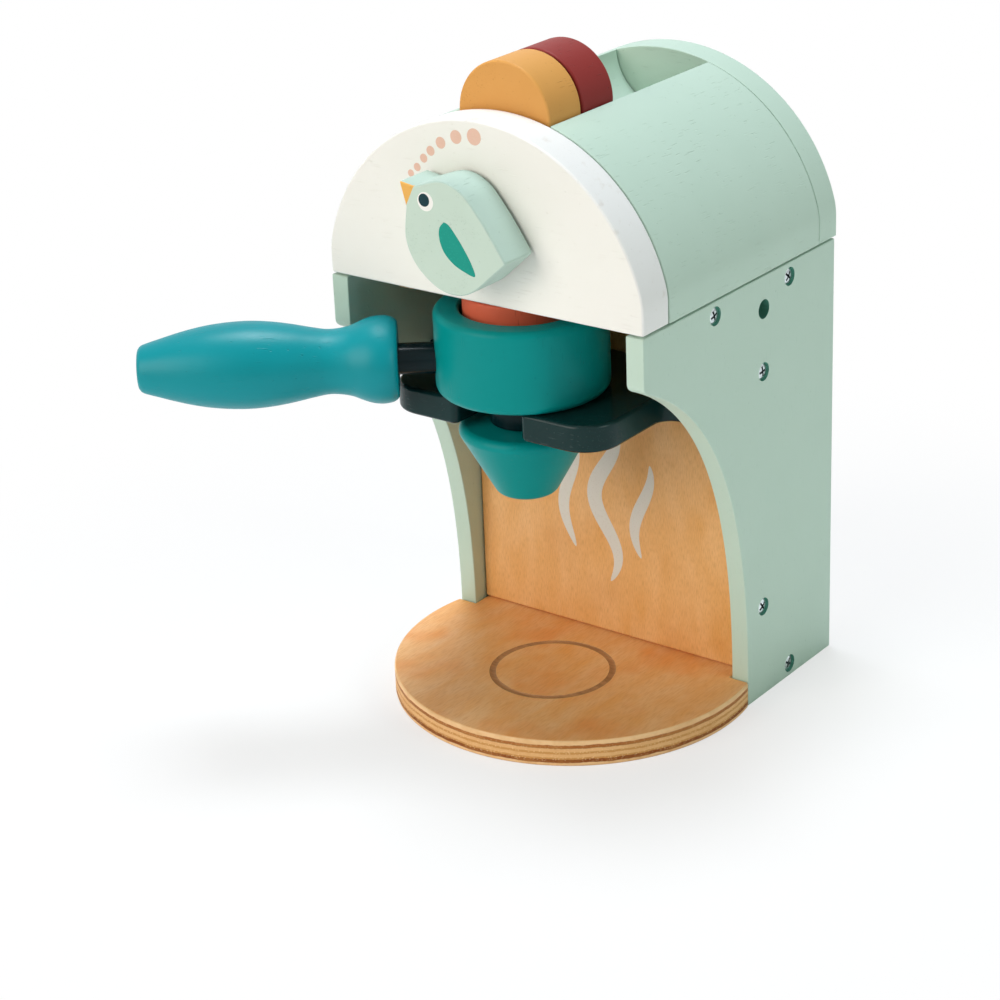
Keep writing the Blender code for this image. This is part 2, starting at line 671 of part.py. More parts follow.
def portafilter_cup():
    """The teal cup, with the recess for a pod and the socket for the neck."""
    profile = rounded_path((
        (0, CUP_HEIGHT - CUP_RECESS_DEPTH, 0),
        (CUP_RECESS_RADIUS, CUP_HEIGHT - CUP_RECESS_DEPTH, CUP_MOUTH_ROUND),
        (CUP_RECESS_RADIUS, CUP_HEIGHT, CUP_MOUTH_ROUND),
        (CUP_RADIUS, CUP_HEIGHT, CUP_RIM_ROUND),
        (CUP_RADIUS, 0, CUP_FOOT_ROUND),
        (TENON_HOLE_RADIUS, 0, 0),
        (TENON_HOLE_RADIUS, TENON_HOLE_DEPTH, 0),
        (0, TENON_HOLE_DEPTH, 0),
    ), False, TURNED_CORNER_STEPS)
    cup = turned("portafilter_cup", profile, ROUND_STEPS, (0, 0, CUP_BOTTOM), parent=portafilter)
    socket_depth = CUP_RADIUS - ROD_INNER_REACH + FIT_GAP
    cut(cup, hole("rod_socket_cut", ROD_RADIUS + FIT_GAP, socket_depth, ROD_STEPS,
                  (CUP_RADIUS, 0, ROD_HEIGHT), FACING_RIGHT, portafilter))
    return painted(cup, TEAL)


def portafilter_neck():
    """The navy neck in the fork's slot, with a tenon up and a tenon down."""
    height = BRACKET_TOP - NECK_BOTTOM
    profile = rounded_path((
        (0, height + TENON_LENGTH, 0),
        (TENON_RADIUS, height + TENON_LENGTH, EDGE_ROUND),
        (TENON_RADIUS, height, 0),
        (NECK_RADIUS, height, EDGE_ROUND / 2),
        (NECK_RADIUS, 0, EDGE_ROUND / 2),
        (TENON_RADIUS, 0, 0),
        (TENON_RADIUS, -TENON_LENGTH, EDGE_ROUND),
        (0, -TENON_LENGTH, 0),
    ), False, TURNED_CORNER_STEPS)
    return painted(turned("portafilter_neck", profile, ROD_STEPS, (0, 0, NECK_BOTTOM),
                          parent=portafilter), NAVY)


def portafilter_spout():
    """The teal cone under the fork, with a rounded tip."""
    profile = rounded_path((
        (0, -TENON_HOLE_DEPTH, 0),
        (TENON_HOLE_RADIUS, -TENON_HOLE_DEPTH, 0),
        (TENON_HOLE_RADIUS, 0, 0),
        (SPOUT_TOP_RADIUS, 0, SPOUT_TOP_ROUND),
        (SPOUT_TIP_RADIUS, -SPOUT_HEIGHT, SPOUT_TIP_ROUND),
        (0, -SPOUT_HEIGHT, 0),
    ), False, TURNED_CORNER_STEPS)
    return painted(turned("portafilter_spout", profile, ROUND_STEPS, (0, 0, SPOUT_TOP),
                          parent=portafilter), TEAL)


def portafilter_rod():
    """The navy rod, one end in the cup and the other in the handle."""
    length = HANDLE_START + ROD_IN_HANDLE - ROD_INNER_REACH
    place = (ROD_INNER_REACH, 0, ROD_HEIGHT)
    return painted(round_bar("portafilter_rod", ROD_RADIUS, length, EDGE_ROUND / 2, ROD_STEPS,
                             place, FACING_LEFT, portafilter), NAVY)


def portafilter_handle():
    """The teal handle: flared inner end, waist, belly and tapered outer end."""
    bore = ROD_RADIUS + FIT_GAP
    bore_depth = ROD_IN_HANDLE + FIT_GAP
    stations = [(HANDLE_RADIUS * radius, -HANDLE_LENGTH * along) for along, radius in HANDLE_PROFILE_SHARES]
    profile = [(0, -bore_depth), (bore, -bore_depth), (bore, 0), *stations]
    profile.append((0, -HANDLE_LENGTH))
    place = (HANDLE_START, 0, ROD_HEIGHT)
    return painted(turned("portafilter_handle", profile, HANDLE_STEPS, place, FACING_LEFT,
                          portafilter), TEAL)


portafilter_cup()
portafilter_neck()
portafilter_spout()
portafilter_rod()
portafilter_handle()


# Knob

def knob_outline():
    """The bird's outline: straight between sharp corners, and a smooth curve elsewhere."""
    shift = KNOB_TAILWARD_OFFSET
    stations = [(x * KNOB_WIDTH + shift, y * KNOB_HEIGHT) for x, y, sharp in KNOB_OUTLINE_SHARES]
    corners = [index for index, station in enumerate(KNOB_OUTLINE_SHARES) if station[2]]
    outline = []
    for first, last in zip(corners, corners[1:] + [corners[0] + len(stations)]):
        span = [stations[index % len(stations)] for index in range(first, last + 1)]
        curve = spline_through(span, KNOB_SPAN_STEPS)
        outline += evenly_spaced(curve, KNOB_FACET_LENGTH)[:-1] if len(span) > 2 else span[:1]
    return outline


def knob():
    """The bird knob, cut from a block, with the blind hole for its spindle."""
    place = (0, KNOB_BACK - KNOB_THICKNESS / 2, KNOB_AXIS_HEIGHT)
    obj = plate("knob", knob_outline(), KNOB_THICKNESS, KNOB_EDGE_ROUND, place, FACING_FRONT)
    face = (0, KNOB_BACK, KNOB_AXIS_HEIGHT)
    cut(obj, hole("knob_bore_cut", SPINDLE_RADIUS + FIT_GAP, KNOB_HOLE_DEPTH, ROD_STEPS, face,
                  FACING_BACK))
    return painted(obj, KNOB_GREEN)


def knob_spindle():
    """The dowel that the knob turns on, in a blind hole in the fascia."""
    front = KNOB_BACK - KNOB_HOLE_DEPTH + FIT_GAP
    place = (0, front, KNOB_AXIS_HEIGHT)
    length = SPINDLE_IN_FASCIA - front
    bar = round_bar("knob_spindle", SPINDLE_RADIUS, length, SPINDLE_EDGE, ROD_STEPS, place,
                    FACING_FRONT)
    fascia_face = (0, 0, KNOB_AXIS_HEIGHT)
    cut(fascia, hole("spindle_bore_cut", SPINDLE_RADIUS + FIT_GAP, SPINDLE_IN_FASCIA + FIT_GAP,
                     ROD_STEPS, fascia_face, FACING_FRONT))
    return painted(bar, PINE)


def knob_washer():
    """The thin washer between the knob and the fascia."""
    inner = SPINDLE_RADIUS + FIT_GAP
    profile = (
        (inner, 0), (WASHER_RADIUS, 0), (WASHER_RADIUS, -WASHER_THICKNESS), (inner, -WASHER_THICKNESS),
        (inner, 0),
    )
    place = (0, WASHER_FRONT, KNOB_AXIS_HEIGHT)
    return painted(turned("knob_washer", profile, ROD_STEPS, place, FACING_FRONT), FIBRE)


knob()
knob_spindle()
knob_washer()


# Screws

def screw(name, length, place, rotation, into):
    """A countersunk screw, its head's face at place, cut into each piece that it holds."""
    waist = length - SCREW_TIP_LENGTH
    profile = (
        (0, 0), (SCREW_HEAD_RADIUS - SCREW_HEAD_EDGE, 0), (SCREW_HEAD_RADIUS, -SCREW_HEAD_EDGE),
        (SCREW_SHANK_RADIUS, -SCREW_HEAD_HEIGHT), (SCREW_SHANK_RADIUS, -waist), (0, -length),
    )
    obj = turned(name, profile, SMALL_ROUND_STEPS, place, rotation)
    head = SCREW_HEAD_RADIUS + FIT_GAP
    shank = SCREW_SHANK_RADIUS + FIT_GAP
    bore_profile = (
        (0, CUT_OVERRUN), (head, CUT_OVERRUN), (head, -SCREW_HEAD_EDGE), (shank, -SCREW_HEAD_HEIGHT),
        (shank, -length - FIT_GAP), (0, -length - FIT_GAP),
    )
    bore = as_cutter(turned(f"{name}_cut", bore_profile, SMALL_ROUND_STEPS, place, rotation))
    for piece in into:
        cut(piece, bore)
    return painted(obj, ZINC)


def side_screws(side, side_name, panel):
    """The five screws through one side panel into what stands between the panels."""
    facing = FACING_RIGHT if side > 0 else FACING_LEFT
    x = side * (HALF_WIDTH - SCREW_RECESS)
    front_rail_place = FRONT_RAIL_START + FRONT_SIDE_SCREW_SHARE * FRONT_RAIL_SPAN
    rear_rail_place = REAR_RAIL_START + REAR_SIDE_SCREW_SHARE * REAR_RAIL_SPAN
    base_middle = (BASE_SHOULDER + BODY_DEPTH) / 2
    seats = (
        ("front_rail", front_rail_place, RAIL_MIDDLE_HEIGHT, front_rails[side]),
        ("rear_rail", rear_rail_place, RAIL_MIDDLE_HEIGHT, rear_rails[side]),
        ("back_upper", BACK_PANEL_MIDDLE, PANEL_HEIGHT - BACK_SCREW_HIGH_DROP, back),
        ("back_lower", BACK_PANEL_MIDDLE, BACK_SCREW_LOW_HEIGHT, back),
        ("base", base_middle, BASE_THICKNESS / 2, base),
    )
    for seat, y, z, piece in seats:
        screw(f"side_screw_{side_name}_{seat}", SCREW_LENGTH, (x, y, z), facing, (panel, piece))


def dome_screws(side, side_name):
    """The two screws up through the rails of one side into the dome."""
    x = side * (BOARD_HALF_WIDTH - RAIL_WIDTH / 2)
    z = PANEL_HEIGHT - RAIL_HEIGHT + SCREW_RECESS
    front_y = FRONT_RAIL_START + FRONT_DOME_SCREW_SHARE * FRONT_RAIL_SPAN
    rear_y = REAR_RAIL_START + REAR_DOME_SCREW_SHARE * REAR_RAIL_SPAN
    for place_name, y, rail in (("front", front_y, front_rails[side]), ("rear", rear_y, rear_rails[side])):
        screw(f"dome_screw_{side_name}_{place_name}", DOME_SCREW_LENGTH, (x, y, z), FACING_DOWN,
              (rail, dome))


def bracket_screw(side, side_name):
    """A screw from behind, through the back panel into the bracket's cross bar."""
    place = (side * BRACKET_SCREW_SPREAD, BACK_PANEL_REAR - SCREW_RECESS,
             BRACKET_UNDERSIDE + BRACKET_THICKNESS / 2)
    screw(f"bracket_screw_{side_name}", BRACKET_SCREW_LENGTH, place, FACING_BACK, (back, bracket))


for screw_side, screw_side_name, screw_panel in ((1, "right", right_panel), (-1, "left", left_panel)):
    side_screws(screw_side, screw_side_name, screw_panel)
    dome_screws(screw_side, screw_side_name)
    bracket_screw(screw_side, screw_side_name)
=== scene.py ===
"""A wooden toy coffee maker: its painted and bare woods, its screws, and the studio round it.

Sizes are in metres, +Z up. The front faces -Y, and the origin lies on the floor under the middle of
the front face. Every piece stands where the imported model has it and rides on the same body.
"""

import json
import logging
import math
from collections.abc import Iterable, Sequence
from dataclasses import dataclass
from enum import Enum

import bmesh
import bpy
from mathutils import Matrix, Vector


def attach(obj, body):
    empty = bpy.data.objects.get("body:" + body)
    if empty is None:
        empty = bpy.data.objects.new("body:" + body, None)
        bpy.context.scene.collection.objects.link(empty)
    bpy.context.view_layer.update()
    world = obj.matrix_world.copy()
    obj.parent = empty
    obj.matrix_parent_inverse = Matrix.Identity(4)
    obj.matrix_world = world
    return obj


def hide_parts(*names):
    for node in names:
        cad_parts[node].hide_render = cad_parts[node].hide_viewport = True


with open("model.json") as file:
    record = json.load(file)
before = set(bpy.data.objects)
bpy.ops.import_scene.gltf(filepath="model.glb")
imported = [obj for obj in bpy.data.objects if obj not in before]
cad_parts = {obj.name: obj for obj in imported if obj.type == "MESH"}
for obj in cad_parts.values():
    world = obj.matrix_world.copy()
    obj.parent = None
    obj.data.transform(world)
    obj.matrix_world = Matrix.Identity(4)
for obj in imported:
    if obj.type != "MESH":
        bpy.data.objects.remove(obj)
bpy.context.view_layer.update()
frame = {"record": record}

LOG = logging.getLogger("coffee_maker")

Point = tuple[float, float]
Corner = tuple[float, float, float]
Place = tuple[float, float, float]
Socket = bpy.types.NodeSocket

MM = 0.001
# How far a cutter reaches past a face, how near two points are one, and how far ink stands out
OVERRUN = 2 * MM
WELD = 0.001 * MM
INK_RELIEF = 0.03 * MM
# The folds that stay sharp in shading and that are rounded, and how level a board's face is
SHARP = math.radians(35)
BEVELLED = math.radians(28)
LEVEL = 0.9

BODY_OF = {
    node: body
    for body, nodes in frame["record"]["behaviour"]["bodies"].items()
    for node in nodes
}


# Ways that a piece lies


class Lie(Enum):
    """How a piece's own axes lie in the object: its x, its y, and its z, which is its thickness or axis."""

    FLAT = ((1, 0, 0), (0, 1, 0))
    UNDER = ((1, 0, 0), (0, -1, 0))
    FRONT = ((1, 0, 0), (0, 0, 1))
    REAR = ((-1, 0, 0), (0, 0, 1))
    RIGHT = ((0, 1, 0), (0, 0, 1))
    LEFT = ((0, -1, 0), (0, 0, 1))

    def at(self, place: Place = (0, 0, 0)) -> Matrix:
        """The matrix that lays a piece this way with its own origin at a place."""
        x, y = Vector(self.value[0]), Vector(self.value[1])
        turn = Matrix((x, y, x.cross(y))).transposed()
        return Matrix.Translation(place) @ turn.to_4x4()


class Grain(Enum):
    """The axis that the wood's fibres run along."""

    X = 0
    Y = 1
    Z = 2

    def sizes(self, width: float, length: float) -> Place:
        """A pattern's size along the three axes, with its length along the grain."""
        return tuple(length if axis == self.value else width for axis in range(3))


class Side(Enum):
    """The two sides of the object, seen from its front as the camera sees it."""

    RIGHT = 1
    LEFT = -1

    @property
    def word(self) -> str:
        """The side's name as the pieces use it."""
        return self.name.lower()

    @property
    def lie(self) -> Lie:
        """The lie of a piece that faces out on this side."""
        return Lie[self.name]


# Materials


def linear(colour: str) -> tuple[float, float, float, float]:
    """An sRGB "#RRGGBB" colour as the linear red, green, blue and alpha that a shader takes."""
    shares = [int(colour[index:index + 2], 16) / 255 for index in (1, 3, 5)]
    red, green, blue = (s / 12.92 if s <= 0.04045 else ((s + 0.055) / 1.055) ** 2.4 for s in shares)
    return red, green, blue, 1.0


def connect(tree: bpy.types.NodeTree, node: bpy.types.Node, inputs: dict) -> None:
    """Give a node's sockets their values and links.

    Args:
        tree: the node tree that holds the node.
        node: the node.
        inputs: sockets by name or number, each with a value, a hex colour, or the output or the node
            that is linked to it. A node gives its first output that is in use.
    """
    for name, value in inputs.items():
        if isinstance(value, bpy.types.Node):
            value = next(output for output in value.outputs if output.enabled)
        if isinstance(value, Socket):
            tree.links.new(value, node.inputs[name])
        else:
            node.inputs[name].default_value = linear(value) if isinstance(value, str) else value


def add_node(tree: bpy.types.NodeTree, kind: str, inputs: dict | None = None,
             **settings: object) -> bpy.types.Node:
    """Add a node with its settings, values and links.

    Args:
        tree: the node tree that gets it.
        kind: the node's type in Blender, without the words "ShaderNode" at its start.
        inputs: its sockets' values and links, as connect takes them.
        **settings: properties by name; stops fills a colour ramp with (place, colour or grey) pairs.

    Returns:
        The new node.
    """
    node = tree.nodes.new(f"ShaderNode{kind}")
    stops = settings.pop("stops", ())
    for name, value in settings.items():
        setattr(node, name, value)
    for _ in stops[2:]:
        node.color_ramp.elements.new(1.0)
    for index, (place, shade) in enumerate(stops):
        element = node.color_ramp.elements[index]
        element.position = place
        element.color = linear(shade) if isinstance(shade, str) else (shade, shade, shade, 1)
    connect(tree, node, inputs or {})
    return node


class Finish:
    """A surface finish that makes its Blender material once and hands it out after that."""

    name: str

    def dress(self, tree: bpy.types.NodeTree, place: Socket) -> dict:
        """Add the finish's nodes.

        Args:
            tree: the material's node tree.
            place: the object's coordinates.

        Returns:
            What each socket of the Principled shader gets.
        """
        raise NotImplementedError

    def material(self) -> bpy.types.Material:
        """The finish's material, made on first use."""
        if self.name not in bpy.data.materials:
            made = bpy.data.materials.new(self.name)
            made.use_nodes = True
            tree = made.node_tree
            place = add_node(tree, "TexCoord").outputs["Object"]
            connect(tree, tree.nodes["Principled BSDF"], self.dress(tree, place))
        return bpy.data.materials[self.name]


@dataclass(frozen=True)
class PaintedBeech(Finish):
    """Beech sprayed with a water-based satin paint.

    The colour is even. Here and there, in patches, short lines along the grain show through it,
    raised fibres or, with a height below zero, small open cracks. There are a few pinholes where
    the paint bridged a pore, faint scuffs where it is worn, and highlights are broad.
    """

    name: str
    colour: str
    deep: str
    pale: str
    grain: Grain
    roughness: float = 0.46
    shine: float = 0.18
    fibre_width: float = 0.8 * MM
    fibre_length: float = 9 * MM
    fibre_show: float = 0.30
    fibre_height: float = 0.05 * MM
    patch_size: float = 13 * MM
    pore_spacing: float = 2.4 * MM
    pore_show: float = 0.30
    pore_depth: float = 0.07 * MM
    mottle_size: float = 24 * MM
    peel_size: float = 0.7 * MM
    peel_height: float = 0.006 * MM
    scuff_size: float = 5 * MM
    wear: float = 0.0
    wear_colour: str = "#B9A58E"
    turn: float = 0.0

    def dress(self, tree: bpy.types.NodeTree, place: Socket) -> dict:
        """The painted wood's colour, gloss and relief."""
        fibres, pores = (
            add_node(tree, "TexVoronoi", {"Scale": 1.0, "Vector": add_node(tree, "Mapping", {
                "Vector": place, "Rotation": (0, 0, self.turn), "Scale": self.grain.sizes(*size)},
                vector_type="TEXTURE")})
            for size in ((self.fibre_width, self.fibre_length), (self.pore_spacing, 2 * self.pore_spacing)))
        cloud, mottle, scuffs, peel = (
            add_node(tree, "TexNoise", {
                "Vector": place, "Scale": 1 / size, "Detail": detail, "Roughness": roughness})
            for size, detail, roughness in (
                (self.patch_size, 2.0, 0.5), (self.mottle_size, 3.0, 0.5), (self.scuff_size, 4.0, 0.6),
                (self.peel_size, 2.0, 0.5)))
        lines, patch, pits, worn = (
            add_node(tree, "ValToRGB", {"Fac": value}, stops=stops) for value, *stops in (
                (fibres, (0.13, 1.0), (0.23, 0.0)), (cloud, (0.46, 0.0), (0.56, 1.0)),
                (pores, (0.05, 1.0), (0.11, 0.0)), (scuffs, (0.58, 0.0), (0.72, self.wear))))
        raised = add_node(tree, "Math", {0: lines, 1: patch}, operation="MULTIPLY")
        fibre_share, pit_share = (
            add_node(tree, "Math", {0: value, 1: share}, operation="MULTIPLY")
            for value, share in ((raised, self.fibre_show), (pits, self.pore_show)))
        tone = self.colour
        for share, over in ((mottle, self.pale), (fibre_share, self.deep), (pit_share, self.deep),
                            (worn, self.wear_colour)):
            tone = add_node(tree, "Mix", {"Factor": share, "A": tone, "B": over}, data_type="RGBA")
        relief: dict = {}
        for height, distance, invert in ((peel, self.peel_height, False),
                                         (raised, self.fibre_height, False), (pits, self.pore_depth, True)):
            relief["Normal"] = add_node(tree, "Bump", {
                "Height": height, "Strength": 1.0, "Distance": distance, **relief}, invert=invert)
        gloss = add_node(tree, "MapRange", {
            "Value": mottle, "From Min": 0.3, "From Max": 0.7, "To Min": self.roughness - 0.05,
            "To Max": self.roughness + 0.05})
        return {"Base Color": tone, "Roughness": gloss, "Specular IOR Level": self.shine, **relief}


@dataclass(frozen=True)
class LacqueredBirch(Finish):
    """Rotary-cut birch veneer under a thin satin lacquer.

    The eye sees an even warm tan, softly clouded, with orange blotches and very many fine, short
    flecks that all run along the grain. The lacquer gives a soft sheen.
    """

    name: str
    grain: Grain
    middle: str
    light: str
    blotch: str = "#D08A42"
    fleck: str = "#B97C3C"
    band: Point = (9 * MM, 26 * MM)
    cloud_size: float = 19 * MM
    fleck_width: float = 0.30 * MM
    fleck_length: float = 2.4 * MM
    fleck_depth: float = 0.015 * MM
    fleck_show: float = 0.30
    blotch_show: float = 0.45
    roughness: float = 0.42
    shine: float = 0.3

    def dress(self, tree: bpy.types.NodeTree, place: Socket) -> dict:
        """The birch veneer's colour, gloss and relief."""
        bands, pores = (
            add_node(tree, "TexNoise", {
                "Scale": 1.0, "Detail": detail, "Distortion": distortion,
                "Vector": add_node(tree, "Mapping", {"Vector": place, "Scale": self.grain.sizes(*size)},
                                   vector_type="TEXTURE")})
            for size, detail, distortion in (
                (self.band, 3.0, 0.3), ((self.fleck_width, self.fleck_length), 2.0, 0.0)))
        cloud = add_node(tree, "TexNoise", {
            "Vector": place, "Scale": 1 / self.cloud_size, "Detail": 2.0})
        tone, warm, flecks = (
            add_node(tree, "ValToRGB", {"Fac": value}, stops=stops) for value, *stops in (
                (bands, (0.25, self.light), (0.75, self.middle)),
                (cloud, (0.50, 0.0), (0.74, self.blotch_show)), (pores, (0.44, 0.0), (0.70, 1.0))))
        fleck_share = add_node(tree, "Math", {0: flecks, 1: self.fleck_show}, operation="MULTIPLY")
        for share, over in ((warm, self.blotch), (fleck_share, self.fleck)):
            tone = add_node(tree, "Mix", {"Factor": share, "A": tone, "B": over}, data_type="RGBA")
        gloss = add_node(tree, "MapRange", {
            "Value": bands, "From Min": 0.3, "From Max": 0.7, "To Min": self.roughness - 0.05,
            "To Max": self.roughness + 0.05})
        bump = add_node(tree, "Bump", {
            "Height": flecks, "Strength": 1.0, "Distance": self.fleck_depth}, invert=True)
        return {"Base Color": tone, "Roughness": gloss, "Specular IOR Level": self.shine, "Normal": bump}


@dataclass(frozen=True)
class PlywoodEdge(Finish):
    """The sawn and sanded edge of birch plywood.

    The eye sees level stripes: pale veneers cut along the grain, and brown ones cut across it,
    which waver, vary in depth of colour along the rim and are cut up by slanting open pores.
    """

    name: str
    thickness: float
    pale: str = "#FAD09A"
    cream: str = "#F0C084"
    tan: str = "#D89C58"
    brown: str = "#AE6A32"
    dark: str = "#925122"
    roughness: float = 0.55
    shine: float = 0.25
    sway: float = 1.3 * MM
    wave_size: float = 8 * MM
    pore_sizes: Place = (0.8 * MM, 0.8 * MM, 0.9 * MM)
    pore_slant: Place = (0.5, 0.5, 0.0)
    pore_depth: float = 0.05 * MM
    # Height from the underside, as a share of the thickness, where each ply begins; the lowest band, tan up
    # to 0.05, is painted shade along the bottom edge
    plies: tuple[tuple[float, str], ...] = (
        (0.0, "tan"), (0.05, "pale"), (0.16, "dark"), (0.29, "tan"), (0.36, "cream"),
        (0.49, "tan"), (0.58, "cream"), (0.71, "brown"), (0.84, "pale"),
    )
    # How far one ply fades into the next, and how strongly the pores show at each height
    glue: float = 0.022
    pores_by_height: tuple[Point, ...] = (
        (0.15, 0.0), (0.24, 0.5), (0.33, 0.9), (0.42, 0.4), (0.60, 0.9), (0.74, 0.2))

    def dress(self, tree: bpy.types.NodeTree, place: Socket) -> dict:
        """The striped edge's colour and relief."""
        height = add_node(tree, "SeparateXYZ", {"Vector": place}).outputs["Z"]
        wave, fade = (
            add_node(tree, "TexNoise", {
                "Vector": place, "Scale": 1 / self.wave_size, "Detail": detail, "Roughness": roughness})
            for detail, roughness in ((5.0, 0.65), (3.0, 0.6)))
        moved = add_node(tree, "Math", {0: wave, 1: self.sway, 2: height}, operation="MULTIPLY_ADD")
        share = add_node(tree, "MapRange", {
            "Value": moved, "From Min": self.sway / 2, "From Max": self.thickness + self.sway / 2})
        plies = []
        for start, tone in self.plies:
            if plies:
                plies.append((start - self.glue, plies[-1][1]))
            plies.append((start, getattr(self, tone)))
        pores = add_node(tree, "TexVoronoi", {
            "Scale": 1.0, "Randomness": 0.8, "Vector": add_node(tree, "Mapping", {
                "Vector": place, "Rotation": self.pore_slant, "Scale": self.pore_sizes},
                vector_type="TEXTURE")})
        tone, faded, specks, crossed = (
            add_node(tree, "ValToRGB", {"Fac": value}, stops=stops) for value, *stops in (
                (share, *plies), (fade, (0.45, 0.0), (0.70, 0.45)), (pores, (0.20, 0.85), (0.40, 0.0)),
                (share, *self.pores_by_height)))
        pore_share = add_node(tree, "Math", {0: specks, 1: crossed}, operation="MULTIPLY")
        for part, over in ((faded, self.tan), (pore_share, self.pale)):
            tone = add_node(tree, "Mix", {"Factor": part, "A": tone, "B": over}, data_type="RGBA")
        bump = add_node(tree, "Bump", {
            "Height": pores, "Strength": 1.0, "Distance": self.pore_depth}, invert=True)
        return {"Base Color": tone, "Roughness": self.roughness, "Specular IOR Level": self.shine,
                "Normal": bump}


@dataclass(frozen=True)
class BareWood(Finish):
    """Planed wood without a coat: dry, with soft early-wood and late-wood bands and no sheen."""

    name: str
    grain: Grain
    light: str = "#E4C690"
    dark: str = "#C89B5C"
    roughness: float = 0.68
    ring: Point = (1.6 * MM, 40 * MM)
    ring_height: float = 0.03 * MM

    def dress(self, tree: bpy.types.NodeTree, place: Socket) -> dict:
        """The bare wood's colour and relief."""
        along = add_node(tree, "Mapping", {"Vector": place, "Scale": self.grain.sizes(*self.ring)},
                         vector_type="TEXTURE")
        rings = add_node(tree, "TexNoise", {
            "Vector": along, "Scale": 1.0, "Detail": 6.0, "Roughness": 0.6, "Distortion": 0.8})
        tone = add_node(tree, "ValToRGB", {"Fac": rings}, stops=((0.35, self.light), (0.7, self.dark)))
        bump = add_node(tree, "Bump", {"Height": rings, "Strength": 1.0, "Distance": self.ring_height})
        return {"Base Color": tone, "Roughness": self.roughness, "Normal": bump}


@dataclass(frozen=True)
class Ink(Finish):
    """Pad-printed ink: a thin, even, slightly satin film with a trace of cloudiness."""

    name: str
    colour: str
    thin: str
    roughness: float = 0.5
    shine: float = 0.2
    cloud_size: float = 0.7 * MM

    def dress(self, tree: bpy.types.NodeTree, place: Socket) -> dict:
        """The ink's colour and gloss."""
        cloud = add_node(tree, "TexNoise", {
            "Vector": place, "Scale": 1 / self.cloud_size, "Detail": 3.0, "Roughness": 0.65})
        tone = add_node(tree, "ValToRGB", {"Fac": cloud}, stops=((0.55, self.colour), (0.85, self.thin)))
        gloss = add_node(tree, "MapRange", {
            "Value": cloud, "To Min": self.roughness - 0.08, "To Max": self.roughness + 0.08})
        return {"Base Color": tone, "Roughness": gloss, "Specular IOR Level": self.shine}


@dataclass(frozen=True)
class ZincPlate(Finish):
    """Steel with a bright zinc plating: pale bluish metal, with a fine drawn haze from tumbling."""

    name: str
    colour: str = "#E6EEEE"
    shade: str = "#B4C1C2"
    smooth: float = 0.20
    rough: float = 0.36
    haze_size: float = 0.6 * MM

    def dress(self, tree: bpy.types.NodeTree, place: Socket) -> dict:
        """The plated steel's colour and gloss."""
        haze = add_node(tree, "TexNoise", {
            "Vector": place, "Scale": 1 / self.haze_size, "Detail": 5.0, "Roughness": 0.6})
        tone = add_node(tree, "ValToRGB", {"Fac": haze}, stops=((0.4, self.colour), (0.8, self.shade)))
        gloss = add_node(tree, "MapRange", {"Value": haze, "To Min": self.smooth, "To Max": self.rough})
        return {"Base Color": tone, "Roughness": gloss, "Metallic": 1.0}


@dataclass(frozen=True)
class MattPaper(Finish):
    """Matt white paper with a faint tooth, which shows near white to the eye away from the object."""

    name: str = "matt_white_paper"
    colour: str = "#F4F4F3"
    tooth: str = "#F6F6F5"
    tooth_scale: float = 60.0
    roughness: float = 0.9
    shine: float = 0.2
    # How far it is lifted to white for the eye: near its middle and far off
    middle: Place = (0.0, 0.05, 0.0)
    near_lift: float = 0.64
    far_lift: float = 1.0
    near: float = 0.10
    far: float = 0.32

    def dress(self, tree: bpy.types.NodeTree, place: Socket) -> dict:
        """The paper's colour, and its lift to white for camera rays alone."""
        away = add_node(tree, "VectorMath", {0: place, 1: self.middle}, operation="DISTANCE")
        lift = add_node(tree, "MapRange", {
            "Value": away, "From Min": self.near, "From Max": self.far, "To Min": self.near_lift,
            "To Max": self.far_lift}, interpolation_type="SMOOTHSTEP")
        seen = add_node(tree, "LightPath").outputs["Is Camera Ray"]
        share = add_node(tree, "Math", {0: seen, 1: lift}, operation="MULTIPLY")
        glow = add_node(tree, "Emission", {"Color": "#FFFFFF"})
        lifted = add_node(tree, "MixShader", {0: share, 1: tree.nodes["Principled BSDF"], 2: glow})
        connect(tree, tree.nodes["Material Output"], {"Surface": lifted})
        tooth = add_node(tree, "TexNoise", {"Scale": self.tooth_scale, "Detail": 2.0})
        tone = add_node(tree, "ValToRGB", {"Fac": tooth}, stops=((0.3, self.colour), (0.7, self.tooth)))
        return {"Base Color": tone, "Roughness": self.roughness, "Specular IOR Level": self.shine}


DOCK_YAW = math.radians(37.6)
MINT = "#BFD7C7", "#8FB3A0", "#C6DCCD"
MINT_BOARD = PaintedBeech("mint_satin_paint_on_beech_board", *MINT, Grain.Z, fibre_show=0.10,
                          fibre_height=0.03 * MM, pore_show=0.15, peel_height=0.012 * MM)
MINT_DOME = PaintedBeech("mint_satin_paint_on_beech_dome", *MINT, Grain.Y, fibre_show=0.04,
                         fibre_height=-0.08 * MM, pore_show=0.12)
MINT_ARCH = PaintedBeech("mint_satin_paint_on_beech_arch", *MINT, Grain.X, fibre_show=0.2)
# Darker mint for the walls of the blind hole and the screw countersinks: painted shade in these recesses
PAINTED_SHADE_HOLE_MINT = PaintedBeech("mint_paint_soaked_into_a_bored_hole", "#528E7C", "#38685B", "#5F9C89",
                         Grain.Z, roughness=0.7, shine=0.05)
WHITE = PaintedBeech("white_satin_paint_on_beech", "#F3F3EC", "#DAD7CC", "#F6F5EF", Grain.X,
                     fibre_length=14 * MM, fibre_show=0.12, pore_show=0.15)
# A slightly greyer copy of the white for the fascia's edges: painted shade there, plus scuffs of real wear
WHITE_RIM_SHADED_AND_WORN = PaintedBeech("white_satin_paint_on_beech_rim", "#EEEEEA", "#D6D3C8", "#F4F3F1", Grain.X,
                         fibre_show=0.12, pore_show=0.15, wear=0.22)
TEAL = "#018885", "#026567", "#04908F"
TEAL_CUP = PaintedBeech("teal_satin_paint_on_turned_cup", *TEAL, Grain.Z, roughness=0.34, shine=0.10,
                        fibre_show=0.15, pore_show=0.25)
